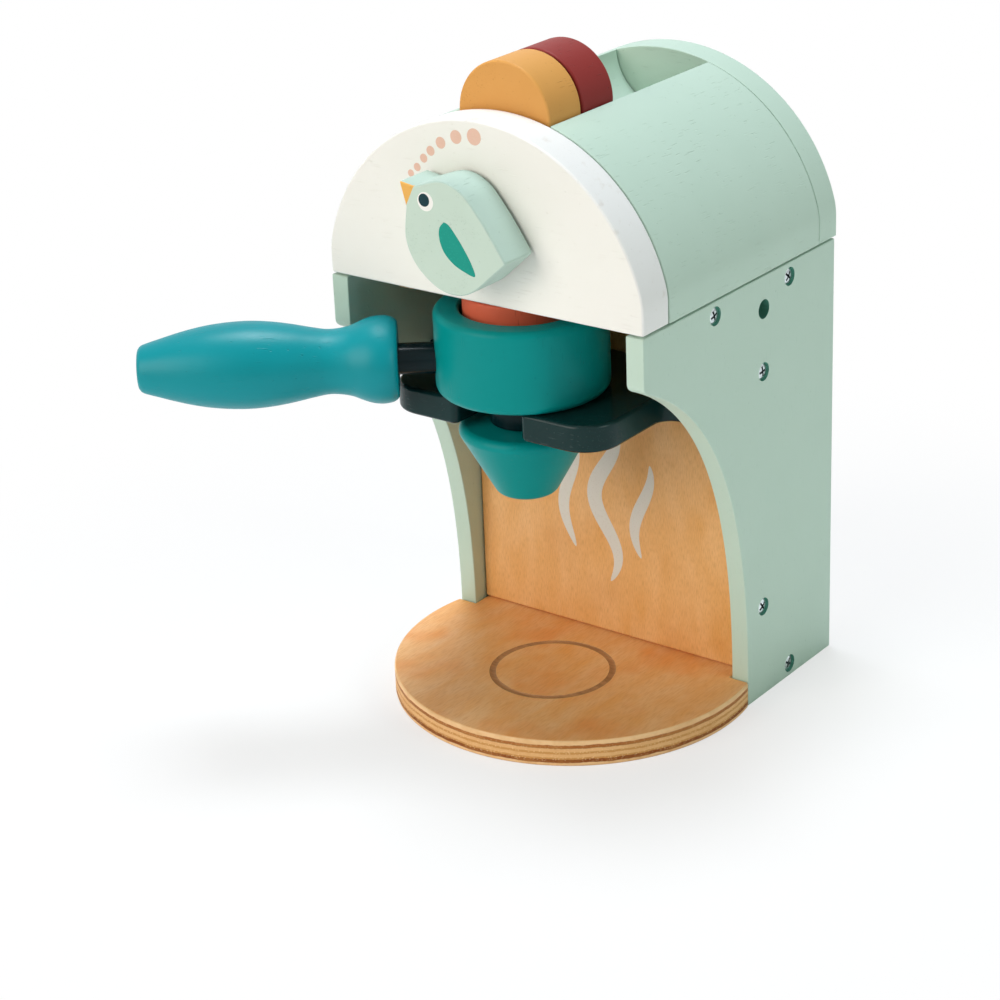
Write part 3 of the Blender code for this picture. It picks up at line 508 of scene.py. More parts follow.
# The handle's teal is a little bluer than the cup's: the blue cast of the light from above, painted in
TEAL_HANDLE = PaintedBeech("teal_satin_paint_on_turned_handle", "#018790", "#025C62", "#04909A",
                           Grain.X, roughness=0.38, shine=0.21, fibre_show=0.12, pore_show=0.2,
                           turn=DOCK_YAW)
NAVY = "#0E2A2A", "#2C4B49", "#113131"
NAVY_BOARD = PaintedBeech("navy_gloss_paint_on_birch_fork", *NAVY, Grain.X, roughness=0.22, shine=0.19,
                          peel_height=0.012 * MM, pore_spacing=1.5 * MM, pore_show=0.5)
NAVY_TURNED = PaintedBeech("navy_gloss_paint_on_turned_rod", "#031B1F", "#1E4247", "#052327", Grain.X,
                           roughness=0.22, shine=0.14, pore_show=0.3, turn=DOCK_YAW)
OCHRE = PaintedBeech("ochre_satin_paint_on_turned_pod", "#DA9C4E", "#A96F2E", "#DFA45B", Grain.Y,
                     fibre_show=0.3, fibre_height=0.09 * MM, pore_spacing=1.6 * MM, pore_show=0.45)
BURGUNDY = PaintedBeech("burgundy_satin_paint_on_turned_pod", "#862623", "#571A19", "#8D2D29", Grain.Y,
                        shine=0.20, fibre_height=0.08 * MM)
# Terracotta lifted above the pod's plain colour: painted light for the pod in the cup under the fascia
TERRACOTTA = PaintedBeech("terracotta_satin_paint_on_turned_pod", "#DC6447", "#A04630", "#E26D50",
                          Grain.Z)
PALE_MINT = PaintedBeech("pale_mint_satin_paint_on_beech_knob", "#C3D8CA", "#97B8A6", "#CBDED1",
                         Grain.Y, shine=0.11, fibre_show=0.35, fibre_height=-0.10 * MM)
# A darker copy of the knob's paint for its sides: painted shade there, with fine cracks
PALE_MINT_SHADED_SIDES = PaintedBeech("pale_mint_satin_paint_on_beech_knob_sides", "#B2C9BE", "#8FAEA0", "#BBD1C6",
                             Grain.Y, shine=0.11, fibre_show=0.30, fibre_height=-0.10 * MM)
BEAK_OCHRE = PaintedBeech("ochre_satin_paint_on_beech_knob", "#E9AE55", "#C98F3C", "#EDB660", Grain.Y)
BIRCH_BOARD = LacqueredBirch("lacquered_birch_board", Grain.Z, middle="#E6AA62", light="#F2C084",
                             blotch_show=0.30, fleck_show=0.36)
BIRCH_TOP = LacqueredBirch("lacquered_birch_plywood_face", Grain.Y, middle="#F4AF66", light="#F9C88F",
                           blotch="#EC7D14", fleck="#D58846", fleck_show=0.38, fleck_width=0.38 * MM,
                           fleck_length=4 * MM, blotch_show=0.40)
SCORCHED = BareWood("routed_and_scorched_birch", Grain.X, "#BE8858", "#9B6A40")
PINE = BareWood("planed_pine", Grain.Y)
DOWEL_BEECH = BareWood("fluted_beech_dowel", Grain.Y, "#DDB98A", "#BF9058")
FIBRE = BareWood("pressed_grey_fibre", Grain.X, "#4A443F", "#38332F", 0.8)
ZINC = ZincPlate("bright_zinc_plated_steel")
# Dark zinc for the walls of the screws' cross recess: painted shade in the recess
PAINTED_SHADE_RECESS_STEEL = ZincPlate("dulled_zinc_plate_in_the_pressed_cross", "#3E4A4B", "#222B2C", 0.35, 0.55)
CORAL_INK = Ink("coral_pad_print", "#EAC2AE", "#EFD0C0")
TEAL_INK = Ink("teal_pad_print", "#0F9585", "#24A894")
EYE_WHITE_INK = Ink("white_pad_print", "#F3F3EE", "#E8EEEA")
EYE_INK = Ink("deep_teal_pad_print", "#06323A", "#14454B")
STEAM_INK = Ink("silver_white_pad_print", "#DDD9CF", "#CFC6B8")


# Meshes


def arc(centre: Point, radius: float, start: float, end: float, steps: int) -> list[Point]:
    """Points along an arc between two angles, both ends included."""
    angles = [start + (end - start) * step / steps for step in range(steps + 1)]
    return [(centre[0] + radius * math.cos(a), centre[1] + radius * math.sin(a)) for a in angles]


def circle(centre: Point, radius: float) -> list[Point]:
    """The outline of a small printed circle."""
    return arc(centre, radius, 0, math.tau, 40)[:-1]


def bezier(start: Point, first_pull: Point, last_pull: Point, end: Point, steps: int) -> list[Point]:
    """Points along a cubic Bezier curve, both ends included."""
    points = []
    for step in range(steps + 1):
        t = step / steps
        weights = ((1 - t) ** 3, 3 * (1 - t) ** 2 * t, 3 * (1 - t) * t ** 2, t ** 3)
        pulls = (start, first_pull, last_pull, end)
        points.append(tuple(sum(w * p[axis] for w, p in zip(weights, pulls)) for axis in (0, 1)))
    return points


def spline_through(stations: Sequence[Point], steps: int) -> list[Point]:
    """Points on a smooth open curve through the stations.

    Args:
        stations: the points that the curve passes.
        steps: how many pieces each span between stations is cut into.

    Returns:
        The curve's points, both ends included.
    """
    padded = [stations[0], *stations, stations[-1]]
    points = [stations[0]]
    for before, start, end, after in zip(padded, padded[1:], padded[2:], padded[3:]):
        first = tuple(s + (e - b) / 6 for s, e, b in zip(start, end, before))
        last = tuple(e - (a - s) / 6 for s, e, a in zip(start, end, after))
        points += bezier(start, first, last, end, steps)[1:]
    return points


def evenly_spaced(points: Sequence[Point], spacing: float) -> list[Point]:
    """The same path in equal steps, as near to a spacing as its length allows.

    Args:
        points: the path.
        spacing: the wanted step.

    Returns:
        The path's points at equal steps, both ends included.
    """
    lengths = [math.dist(start, end) for start, end in zip(points, points[1:])]
    count = max(1, round(sum(lengths) / spacing))
    pace = sum(lengths) / count
    path, travelled = [points[0]], 0.0
    for start, end, length in zip(points, points[1:], lengths):
        while len(path) < count and len(path) * pace <= travelled + length:
            share = (len(path) * pace - travelled) / length
            path.append(tuple(s + share * (e - s) for s, e in zip(start, end)))
        travelled += length
    return [*path, points[-1]]


def rounded(corners: Sequence[Corner], closed: bool, steps: int) -> list[Point]:
    """A path through corners, each rounded by an arc.

    Args:
        corners: x, y and the radius of each corner.
        closed: whether the path comes back to its start.
        steps: how many pieces each arc is cut into.

    Returns:
        The path's points.
    """
    points: list[Point] = []
    count = len(corners)
    for index, (x, y, radius) in enumerate(corners):
        if radius == 0 or (not closed and index in (0, count - 1)):
            points.append((x, y))
            continue
        here = Vector((x, y))
        before = (Vector(corners[index - 1][:2]) - here).normalized()
        after = (Vector(corners[(index + 1) % count][:2]) - here).normalized()
        half = before.angle(after) / 2
        centre = here + (before + after).normalized() * radius / math.sin(half)
        first = here + before * radius / math.tan(half) - centre
        last = here + after * radius / math.tan(half) - centre
        start = math.atan2(first.y, first.x)
        turn = math.remainder(math.atan2(last.y, last.x) - start, math.tau)
        points += arc(tuple(centre), radius, start, start + turn, steps)
    return [p for before, p in zip(points[-1:] + points, points) if math.dist(before, p) > WELD]


def as_object(name: str, bm: bmesh.types.BMesh, lie: Matrix,
              finishes: Sequence[Finish]) -> bpy.types.Object:
    """Turn a mesh under work into an object of the scene.

    Args:
        name: the object's name.
        bm: the mesh, which is freed.
        lie: how and where the mesh lies.
        finishes: its materials in order.

    Returns:
        The new object.
    """
    bmesh.ops.transform(bm, matrix=lie, verts=bm.verts)
    mesh = bpy.data.meshes.new(name)
    bm.to_mesh(mesh)
    bm.free()
    for finish in finishes:
        mesh.materials.append(finish.material())
    obj = bpy.data.objects.new(name, mesh)
    bpy.context.scene.collection.objects.link(obj)
    return obj


def add_prism(bm: bmesh.types.BMesh, lower: Iterable[Place], upper: Iterable[Place]) -> None:
    """Add a closed prism between two rings of as many points, both anticlockwise."""
    lower, upper = ([bm.verts.new(point) for point in ring] for ring in (lower, upper))
    bm.faces.new(list(reversed(lower)))
    bm.faces.new(upper)
    for a, b, c, d in zip(lower, lower[1:] + lower[:1], upper[1:] + upper[:1], upper):
        bm.faces.new((a, b, c, d))
    bmesh.ops.recalc_face_normals(bm, faces=bm.faces)


def add_slab(bm: bmesh.types.BMesh, outline: Sequence[Point], low: float, high: float) -> None:
    """Add an outline as a slab between two heights."""
    add_prism(bm, [(x, y, low) for x, y in outline], [(x, y, high) for x, y in outline])


def board(name: str, outline: Sequence[Point], low: float, high: float, rim: float, lie: Matrix,
          *finishes: Finish, segments: int = 3) -> bpy.types.Object:
    """A board sawn to an outline, with every sharp edge sanded round.

    Args:
        name: the object's name.
        outline: the board's outline, anticlockwise.
        low: one face's height in the board's own z.
        high: the other face's height.
        rim: how far the rounding reaches in from an edge.
        lie: how the board lies.
        *finishes: its materials. A second one covers what doesn't lie flat.
        segments: how many facets the rounding has.

    Returns:
        The board.
    """
    bm = bmesh.new()
    add_slab(bm, outline, low, high)
    sharp = [edge for edge in bm.edges if edge.calc_face_angle(0) > BEVELLED]
    bmesh.ops.bevel(bm, geom=sharp, offset=rim, segments=segments, profile=0.5, affect="EDGES",
                    clamp_overlap=False)
    if len(finishes) > 1:
        for face in bm.faces:
            face.material_index = int(abs(face.normal.z) < LEVEL)
    return as_object(name, bm, lie, finishes)


def block(name: str, low: Place, high: Place, rim: float, finish: Finish) -> bpy.types.Object:
    """A planed block between two corners, with rounded edges."""
    outline = [(low[0], low[1]), (high[0], low[1]), (high[0], high[1]), (low[0], high[1])]
    return board(name, outline, low[2], high[2], rim, Matrix(), finish)


def turned(name: str, profile: Sequence[Point], lie: Matrix, *finishes: Finish, steps: int = 128,
           ring: bool = False) -> bpy.types.Object:
    """A piece turned on a lathe about its own z.

    Args:
        name: the object's name.
        profile: radius and height of each point of the half section.
        lie: how the piece lies.
        *finishes: its materials.
        steps: how many facets go round.
        ring: whether the section closes on itself.

    Returns:
        The turned piece.
    """
    bm = bmesh.new()
    turns = [(math.cos(math.tau * step / steps), math.sin(math.tau * step / steps))
             for step in range(steps)]
    circles = []
    for radius, height in profile:
        spots = turns if radius > WELD else [(0, 0)]
        circles.append([bm.verts.new((radius * c, radius * s, height)) for c, s in spots])
    followers = circles[1:] + circles[:1] if ring else circles[1:]
    for first, second in zip(circles, followers):
        for step in range(steps):
            corners = (first[step % len(first)], first[(step + 1) % len(first)],
                       second[(step + 1) % len(second)], second[step % len(second)])
            bm.faces.new(list(dict.fromkeys(corners)))
    bmesh.ops.recalc_face_normals(bm, faces=bm.faces)
    return as_object(name, bm, lie, finishes)


def bar(name: str, radius: float, length: float, edge: float, lie: Matrix, finish: Finish,
        steps: int = 96) -> bpy.types.Object:
    """A turned bar that reaches from its origin down its own -z, with rounded rims."""
    corners = ((0, 0, 0), (radius, 0, edge), (radius, -length, edge), (0, -length, 0))
    return turned(name, rounded(corners, False, 5), lie, finish, steps=steps)


def bore(radius: float, depth: float, lie: Matrix, finish: Finish) -> bpy.types.Object:
    """A cutter for a round hole that goes in along its own -z."""
    profile = ((0, OVERRUN), (radius, OVERRUN), (radius, -depth), (0, -depth))
    return turned("cutter", profile, lie, finish, steps=64)


def cut(obj: bpy.types.Object, cutters: Iterable[bpy.types.Object]) -> None:
    """Cut closed shapes out of an object for good.

    Args:
        obj: what is cut.
        cutters: the shapes, which are deleted. Each gives its own finish to what it bares.
    """
    cutters = list(cutters)
    for cutter in cutters:
        modifier = obj.modifiers.new("cut", "BOOLEAN")
        modifier.operation = "DIFFERENCE"
        modifier.solver = "EXACT"
        modifier.material_mode = "TRANSFER"
        modifier.object = cutter
    depsgraph = bpy.context.evaluated_depsgraph_get()
    uncut = obj.data
    obj.data = bpy.data.meshes.new_from_object(obj.evaluated_get(depsgraph))
    obj.data.name = obj.name
    obj.modifiers.clear()
    bpy.data.meshes.remove(uncut)
    for cutter in cutters:
        bpy.data.meshes.remove(cutter.data)


def print_on(name: str, outlines: Iterable[Sequence[Point]], height: float, lie: Matrix,
             finish: Finish) -> bpy.types.Object:
    """A thin film of ink on a flat face.

    Args:
        name: the object's name.
        outlines: the printed shapes, which don't touch.
        height: the face's height in the print's own z.
        lie: how the print lies.
        finish: the ink.

    Returns:
        The print, sunk a little into the face that carries it.
    """
    bm = bmesh.new()
    for outline in outlines:
        add_slab(bm, outline, height - INK_RELIEF, height + INK_RELIEF)
    return as_object(name, bm, lie, [finish])


def even_out(obj: bpy.types.Object) -> None:
    """Shade an object smooth up to its sharp edges, with its flat faces flat."""
    obj.data.shade_smooth()
    obj.data.set_sharp_from_angle(angle=SHARP)
    modifier = obj.modifiers.new("even_normals", "WEIGHTED_NORMAL")
    modifier.keep_sharp = True


def settle(obj: bpy.types.Object, slot: str | None, *nodes: str, rides_with: str = "") -> None:
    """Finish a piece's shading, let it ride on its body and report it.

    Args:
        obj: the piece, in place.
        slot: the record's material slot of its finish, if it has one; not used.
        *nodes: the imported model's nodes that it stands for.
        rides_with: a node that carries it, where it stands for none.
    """
    even_out(obj)
    body = BODY_OF[rides_with or nodes[0]]
    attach(obj, body)
    if nodes:
        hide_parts(*nodes)
    LOG.info("%s: %d faces, rides on %s", obj.name, len(obj.data.polygons), body)


# Sizes that several pieces share


@dataclass(frozen=True)
class Frame:
    """The main planes of the coffee maker and the sizes that several pieces share."""

    width: float = 0.124
    depth: float = 0.1152
    panel_height: float = 0.1533
    panel_thickness: float = 0.0066
    base_thickness: float = 0.0096
    foot_setback: float = 0.0602
    shoulder_gap: float = 0.0005
    gap: float = 0.0003
    rim: float = 0.0009
    crisp: float = 0.0004
    back_panel_front: float = 0.066
    back_panel_thickness: float = 0.008
    fascia: float = 0.0145
    rear_fascia: float = 0.0109
    rear_overhang: float = 0.0011
    rail_width: float = 0.011
    rail_height: float = 0.0104
    rail_gap: float = 0.007
    rear_rail_inset: float = 0.006
    # The knob's axis above the dome's underside, and the depth that the portafilter hangs at
    knob_rise: float = 0.0259
    dock: float = 0.0209
    # Rounding of the rims of dowels and spindle
    pin_edge: float = 0.0003

    @property
    def half(self) -> float:
        """Half the width over the side panels."""
        return self.width / 2

    @property
    def board_half(self) -> float:
        """Half the width of a board that fits between the side panels."""
        return self.half - self.panel_thickness - self.gap

    @property
    def dome_floor(self) -> float:
        """Height of the dome's underside."""
        return self.panel_height + self.gap

    @property
    def knob_axis(self) -> float:
        """Height of the knob's axis."""
        return self.dome_floor + self.knob_rise

    @property
    def dome_front(self) -> float:
        """Depth of the dome body's front face."""
        return self.fascia + self.gap

    @property
    def rear_fascia_back(self) -> float:
        """Depth of the rear fascia's rear face, which stands out behind the side panels."""
        return self.depth + self.rear_overhang

    @property
    def rear_fascia_front(self) -> float:
        """Depth of the rear fascia's front face."""
        return self.rear_fascia_back - self.rear_fascia

    @property
    def dome_back(self) -> float:
        """Depth of the dome body's rear face."""
        return self.rear_fascia_front - self.gap

    @property
    def back_panel_middle(self) -> float:
        """Depth of the back panel's middle."""
        return self.back_panel_front + self.back_panel_thickness / 2

    @property
    def back_panel_rear(self) -> float:
        """Depth of the back panel's rear face."""
        return self.back_panel_front + self.back_panel_thickness

    @property
    def base_shoulder(self) -> float:
        """Depth where the base narrows to its tongue."""
        return self.foot_setback - self.shoulder_gap

    @property
    def front_rail(self) -> Point:
        """Depths of the front rails' ends."""
        return self.dome_front + self.rail_gap, self.back_panel_front - self.gap

    @property
    def rear_rail(self) -> Point:
        """Depths of the rear rails' ends."""
        return self.back_panel_rear + self.gap, self.depth - self.rear_rail_inset

    @property
    def rail_middle(self) -> float:
        """Height of the rails' middle."""
        return self.panel_height - self.rail_height / 2

    @property
    def spans(self) -> Point:
        """Lengths that the screws of the front rails and of the rear rails are shared out over."""
        return self.front_rail[1] - self.front_rail[0], self.dome_back - self.rear_rail[0]


FRAME = Frame()


@dataclass
class Screws:
    """Countersunk steel screws with a cross recess, and the holes that they fill."""

    head_radius: float = 0.003
    head_height: float = 0.0018
    head_edge: float = 0.0002
    shank_radius: float = 0.0014
    tip: float = 0.0025
    dome: float = 0.0005
    countersink: float = 0.0002
    recess: float = 0.0009
    side_length: float = 0.0155
    long_length: float = 0.019
    slot_length: float = 0.0043
    slot_width: float = 0.0009
    slot_depth: float = 0.0011
    slot_taper: float = 0.42
    shank_play: float = 0.0002
    end_play: float = 0.0003
    head_band: float = 0.0001
    crown_shares: tuple[float, ...] = (0.0, 0.3, 0.55, 0.75, 0.88, 0.96)
    # Where they sit: shares of a rail's length, places on the back panel's edge, and off the middle
    side_shares: Point = (0.432, 0.38)
    dome_shares: Point = (0.25, 0.8)
    upper_drop: float = 0.0335
    lower_height: float = 0.034
    bracket_spread: float = 0.030

    def hole(self, lie: Matrix, length: float, finish: Finish) -> bpy.types.Object:
        """A cutter for the hole of one screw."""
        head, shank = self.head_radius + self.countersink, self.shank_radius + self.shank_play
        end = -length - self.end_play
        profile = ((0, OVERRUN), (head, OVERRUN), (head, -self.head_edge),
                   (shank, -self.head_height), (shank, end), (0, end))
        return turned("cutter", profile, lie, finish, steps=48)

    def recess_cutter(self, lie: Matrix) -> bpy.types.Object:
        """The star that a screwdriver fits, tapering as it goes in."""
        bm = bmesh.new()
        arm, half = self.slot_length / 2, self.slot_width / 2
        star = [(arm, -half), (arm, half), (half, half), (half, arm), (-half, arm), (-half, half),
                (-arm, half), (-arm, -half), (-half, -half), (-half, -arm), (half, -arm),
                (half, -half)]
        share = self.slot_taper
        add_prism(bm, [(x * share, y * share, -self.slot_depth) for x, y in star],
                  [(x, y, self.slot_width) for x, y in star])
        # Its walls take the darkened zinc: painted shade inside the cross
        return as_object("cutter", bm, lie, [PAINTED_SHADE_RECESS_STEEL])

    def drive(self, name: str, lie: Matrix, length: float, spin: float) -> None:
        """Make one screw.

        Args:
            name: the node that it stands for.
            lie: its place and direction, its own z pointing out of the head.
            length: its whole length.
            spin: how far its cross is turned, in degrees.
        """
        crown = [(self.head_radius * share, self.dome * (1 - share ** 2) - self.head_edge * share ** 6)
                 for share in self.crown_shares]
        profile = [*crown, (self.head_radius, -self.head_edge - self.head_band),
                   (self.shank_radius, -self.head_height), (self.shank_radius, self.tip - length),
                   (0, -length)]
        piece = turned(f"{name}_zinc", profile, lie, ZINC, steps=48)
        cut(piece, [self.recess_cutter(lie @ Matrix.Rotation(math.radians(spin), 4, "Z"))])
        settle(piece, "zinc_steel", name)

    def seats(self, side: Side) -> dict[str, tuple[Matrix, float, float]]:
        """Where one side's screws sit.

        Args:
            side: the side.

        Returns:
            The node's name with the screw's lie, its length and the turn of its cross.
        """
        f = FRAME
        x = side.value * (f.half - self.recess)
        rail_x = side.value * (f.board_half - f.rail_width / 2)
        rail_z = f.panel_height - f.rail_height + self.recess
        starts = f.front_rail[0], f.rear_rail[0]
        front, rear = (start + share * span
                       for start, share, span in zip(starts, self.side_shares, f.spans))
        dome_front, dome_rear = (start + share * span
                                 for start, share, span in zip(starts, self.dome_shares, f.spans))
        level = {
            "front_rail": (front, f.rail_middle, 20),
            "rear_rail": (rear, f.rail_middle, 50),
            "back_upper": (f.back_panel_middle, f.panel_height - self.upper_drop, 8),
            "back_lower": (f.back_panel_middle, self.lower_height, 35),
            "base": ((f.base_shoulder + f.depth) / 2, f.base_thickness / 2, 62),
        }
        placed = {f"side_screw_{side.word}_{seat}": (side.lie.at((x, y, z)), self.side_length, spin)
                  for seat, (y, z, spin) in level.items()}
        for seat, y, spin in (("front", dome_front, 15), ("rear", dome_rear, 40)):
            placed[f"dome_screw_{side.word}_{seat}"] = (
                Lie.UNDER.at((rail_x, y, rail_z)), self.long_length, spin)
        placed[f"bracket_screw_{side.word}"] = (
            Lie.REAR.at((side.value * self.bracket_spread, f.back_panel_rear - self.recess,
                         ForkBracket.underside + ForkBracket.thickness / 2)),
            self.long_length, 25)
        return placed

    def holes(self, finish: Finish, *words: str) -> list[bpy.types.Object]:
        """Cutters for every screw whose name has one of these words."""
        return [self.hole(lie, length, finish)
                for side in Side for name, (lie, length, _) in self.seats(side).items()
                if any(word in name for word in words)]

    def build(self) -> None:
        """Make all the screws."""
        for side in Side:
            for name, (lie, length, spin) in self.seats(side).items():
                self.drive(name, lie, length, spin)


@dataclass
class Carcass:
    """The side panels, the plywood base, the birch back panel and the rails under the dome."""

    brow_height: float = 0.0161
    nose_reach: float = 0.003
    nose_drop: float = 0.0034
    nose_pull: float = 0.0017
    head_pull: float = 0.050
    foot_pull: float = 0.0527
    sweep: float = math.radians(24.7)
    disc_radius: float = 0.06398
    disc_setback: float = 0.0457
    ring_radius: float = 0.0209
    ring_setback: float = 0.0315
    ring_width: float = 0.0023
    ring_depth: float = 0.0004
    hole_drop: float = 0.0117
    hole_radius: float = 0.0033
    hole_depth: float = 0.0058
    # Each wisp of steam: its middle, its ends' heights, its swing, its phase and half its width
    wisps: tuple[tuple[float, ...], ...] = (
        (-0.0150, 0.040, 0.080, 0.0032, 2.6, 0.0024), (0.0, 0.030, 0.094, 0.0048, 0.3, 0.0031),
        (0.0155, 0.042, 0.078, 0.0036, 3.4, 0.0024),
    )
    wisp_wave: float = 0.046
    wisp_steps: int = 60
    wisp_tip: float = 0.04
    wisp_swell: float = 0.6
    rail_rim: float = 0.003
    seam: float = 0.0003

    def panel_outline(self) -> list[Point]:
        """A side panel's outline: depth from the front, then height."""
        f = FRAME
        brow = (0.0, f.panel_height - self.brow_height)
        nose = (self.nose_reach, brow[1] - self.nose_drop)
        foot = (f.foot_setback, f.base_thickness)
        lean = (math.cos(self.sweep), -math.sin(self.sweep))
        into = (nose[0] - lean[0] * self.nose_pull, nose[1] - lean[1] * self.nose_pull)
        out = (nose[0] + lean[0] * self.head_pull, nose[1] + lean[1] * self.head_pull)
        top = f.panel_height - self.seam
        outline = [(f.depth, 0.0), (f.depth, top), (0.0, top)]
        outline += bezier(brow, (brow[0], brow[1] - self.nose_pull), into, nose, 8)
        outline += bezier(nose, out, (foot[0], foot[1] + self.foot_pull), foot, 48)[1:]
        outline.append((f.foot_setback, 0.0))
        return outline

    def side_panel(self, side: Side, screws: Screws) -> None:
        """One painted side panel with its blind hole and screw holes."""
        f = FRAME
        inner, outer = sorted((side.value * (f.half - f.panel_thickness), side.value * f.half))
        panel = board(f"{side.word}_side_panel_painted", self.panel_outline(), inner, outer, f.crisp,
                      Lie.RIGHT.at(), MINT_BOARD)
        # The hole walls take the darker mint: painted shade inside the holes
        blind = bore(self.hole_radius, self.hole_depth, side.lie.at(
            (side.value * f.half, f.back_panel_middle, f.panel_height - self.hole_drop)), PAINTED_SHADE_HOLE_MINT)
        cut(panel, [blind, *screws.holes(PAINTED_SHADE_HOLE_MINT, f"side_screw_{side.word}")])
        settle(panel, "mint_paint", f"{side.word}_side_panel")

    def base(self, screws: Screws) -> None:
        """The plywood base with the scorched ring that marks the cup's place."""
        f = FRAME
        shoulder = math.asin((f.base_shoulder - self.disc_setback) / self.disc_radius)
        outline = arc((0, self.disc_setback), self.disc_radius, -math.pi - shoulder, shoulder, 150)
        rear = f.depth - f.gap
        outline += [(f.board_half, f.base_shoulder), (f.board_half, rear),
                    (-f.board_half, rear), (-f.board_half, f.base_shoulder)]
        plate = board("base_board_plywood", outline, 0.0, f.base_thickness, f.rim, Matrix(), BIRCH_TOP,
                      PlywoodEdge("sanded_birch_plywood_edge", f.base_thickness))
        half = self.ring_width / 2
        groove = [(self.ring_radius + half * across, self.ring_depth * height)
                  for across, height in arc((0, 0), 1.0, math.pi, math.tau, 8)]
        profile = [(self.ring_radius - half, OVERRUN), *groove, (self.ring_radius + half, OVERRUN)]
        ring = turned("cutter", profile, Lie.FLAT.at((0, self.ring_setback, f.base_thickness)),
                      SCORCHED, ring=True)
        cut(plate, [ring, *screws.holes(PINE, "_base")])
        settle(plate, "birch_plywood", "base_board")

    def back(self, screws: Screws) -> None:
        """The upright birch panel."""
        f = FRAME
        panel = block("back_panel_birch", (-f.board_half, f.back_panel_front, f.base_thickness + f.gap),
                      (f.board_half, f.back_panel_rear, f.panel_height), f.rim, BIRCH_BOARD)
        cut(panel, screws.holes(PINE, "_back_", "bracket_screw"))
        settle(panel, "birch_plywood", "back_panel")

    def rails(self, screws: Screws) -> None:
        """The four pine rails in the corners under the dome."""
        f = FRAME
        for side in Side:
            for word, (start, end) in (("front", f.front_rail), ("rear", f.rear_rail)):
                outer, inner = side.value * f.board_half, side.value * (f.board_half - f.rail_width)
                low = (min(outer, inner), start, f.panel_height - f.rail_height)
                high = (max(outer, inner), end, f.panel_height)
                rim = self.rail_rim if word == "front" else f.rim
                rail = block(f"{word}_rail_{side.word}_pine", low, high, rim, PINE)
                cut(rail, screws.holes(PINE, f"side_screw_{side.word}_{word}_rail",
                                       f"dome_screw_{side.word}_{word}"))
                settle(rail, "plain_pine", f"{word}_rail_{side.word}")

    def steam(self) -> None:
        """Three printed wisps of steam on the back panel, above the cup's place."""
        wisps = []
        for x, low, high, swing, phase, half in self.wisps:
            left, right = [], []
            for step in range(self.wisp_steps + 1):
                share = step / self.wisp_steps
                angle = phase + share * (high - low) / self.wisp_wave * math.tau
                swell = math.sin(math.pi * share) ** self.wisp_swell
                width = half * (self.wisp_tip + (1 - self.wisp_tip) * swell)
                slope = swing * math.cos(angle) * math.tau / self.wisp_wave
                norm = math.hypot(1, slope)
                centre, z = x + swing * math.sin(angle), low + share * (high - low)
                left.append((centre - width / norm, z + width * slope / norm))
                right.append((centre + width / norm, z - width * slope / norm))
            wisps.append(right + left[::-1])
        film = print_on("back_panel_steam_print", wisps, -FRAME.back_panel_front, Lie.FRONT.at(),
                        STEAM_INK)
        settle(film, None, rides_with="back_panel")

    def build(self, screws: Screws) -> None:
        """Make the carcass."""
        for side in Side:
            self.side_panel(side, screws)
        self.base(screws)
        self.back(screws)
        self.rails(screws)
        self.steam()


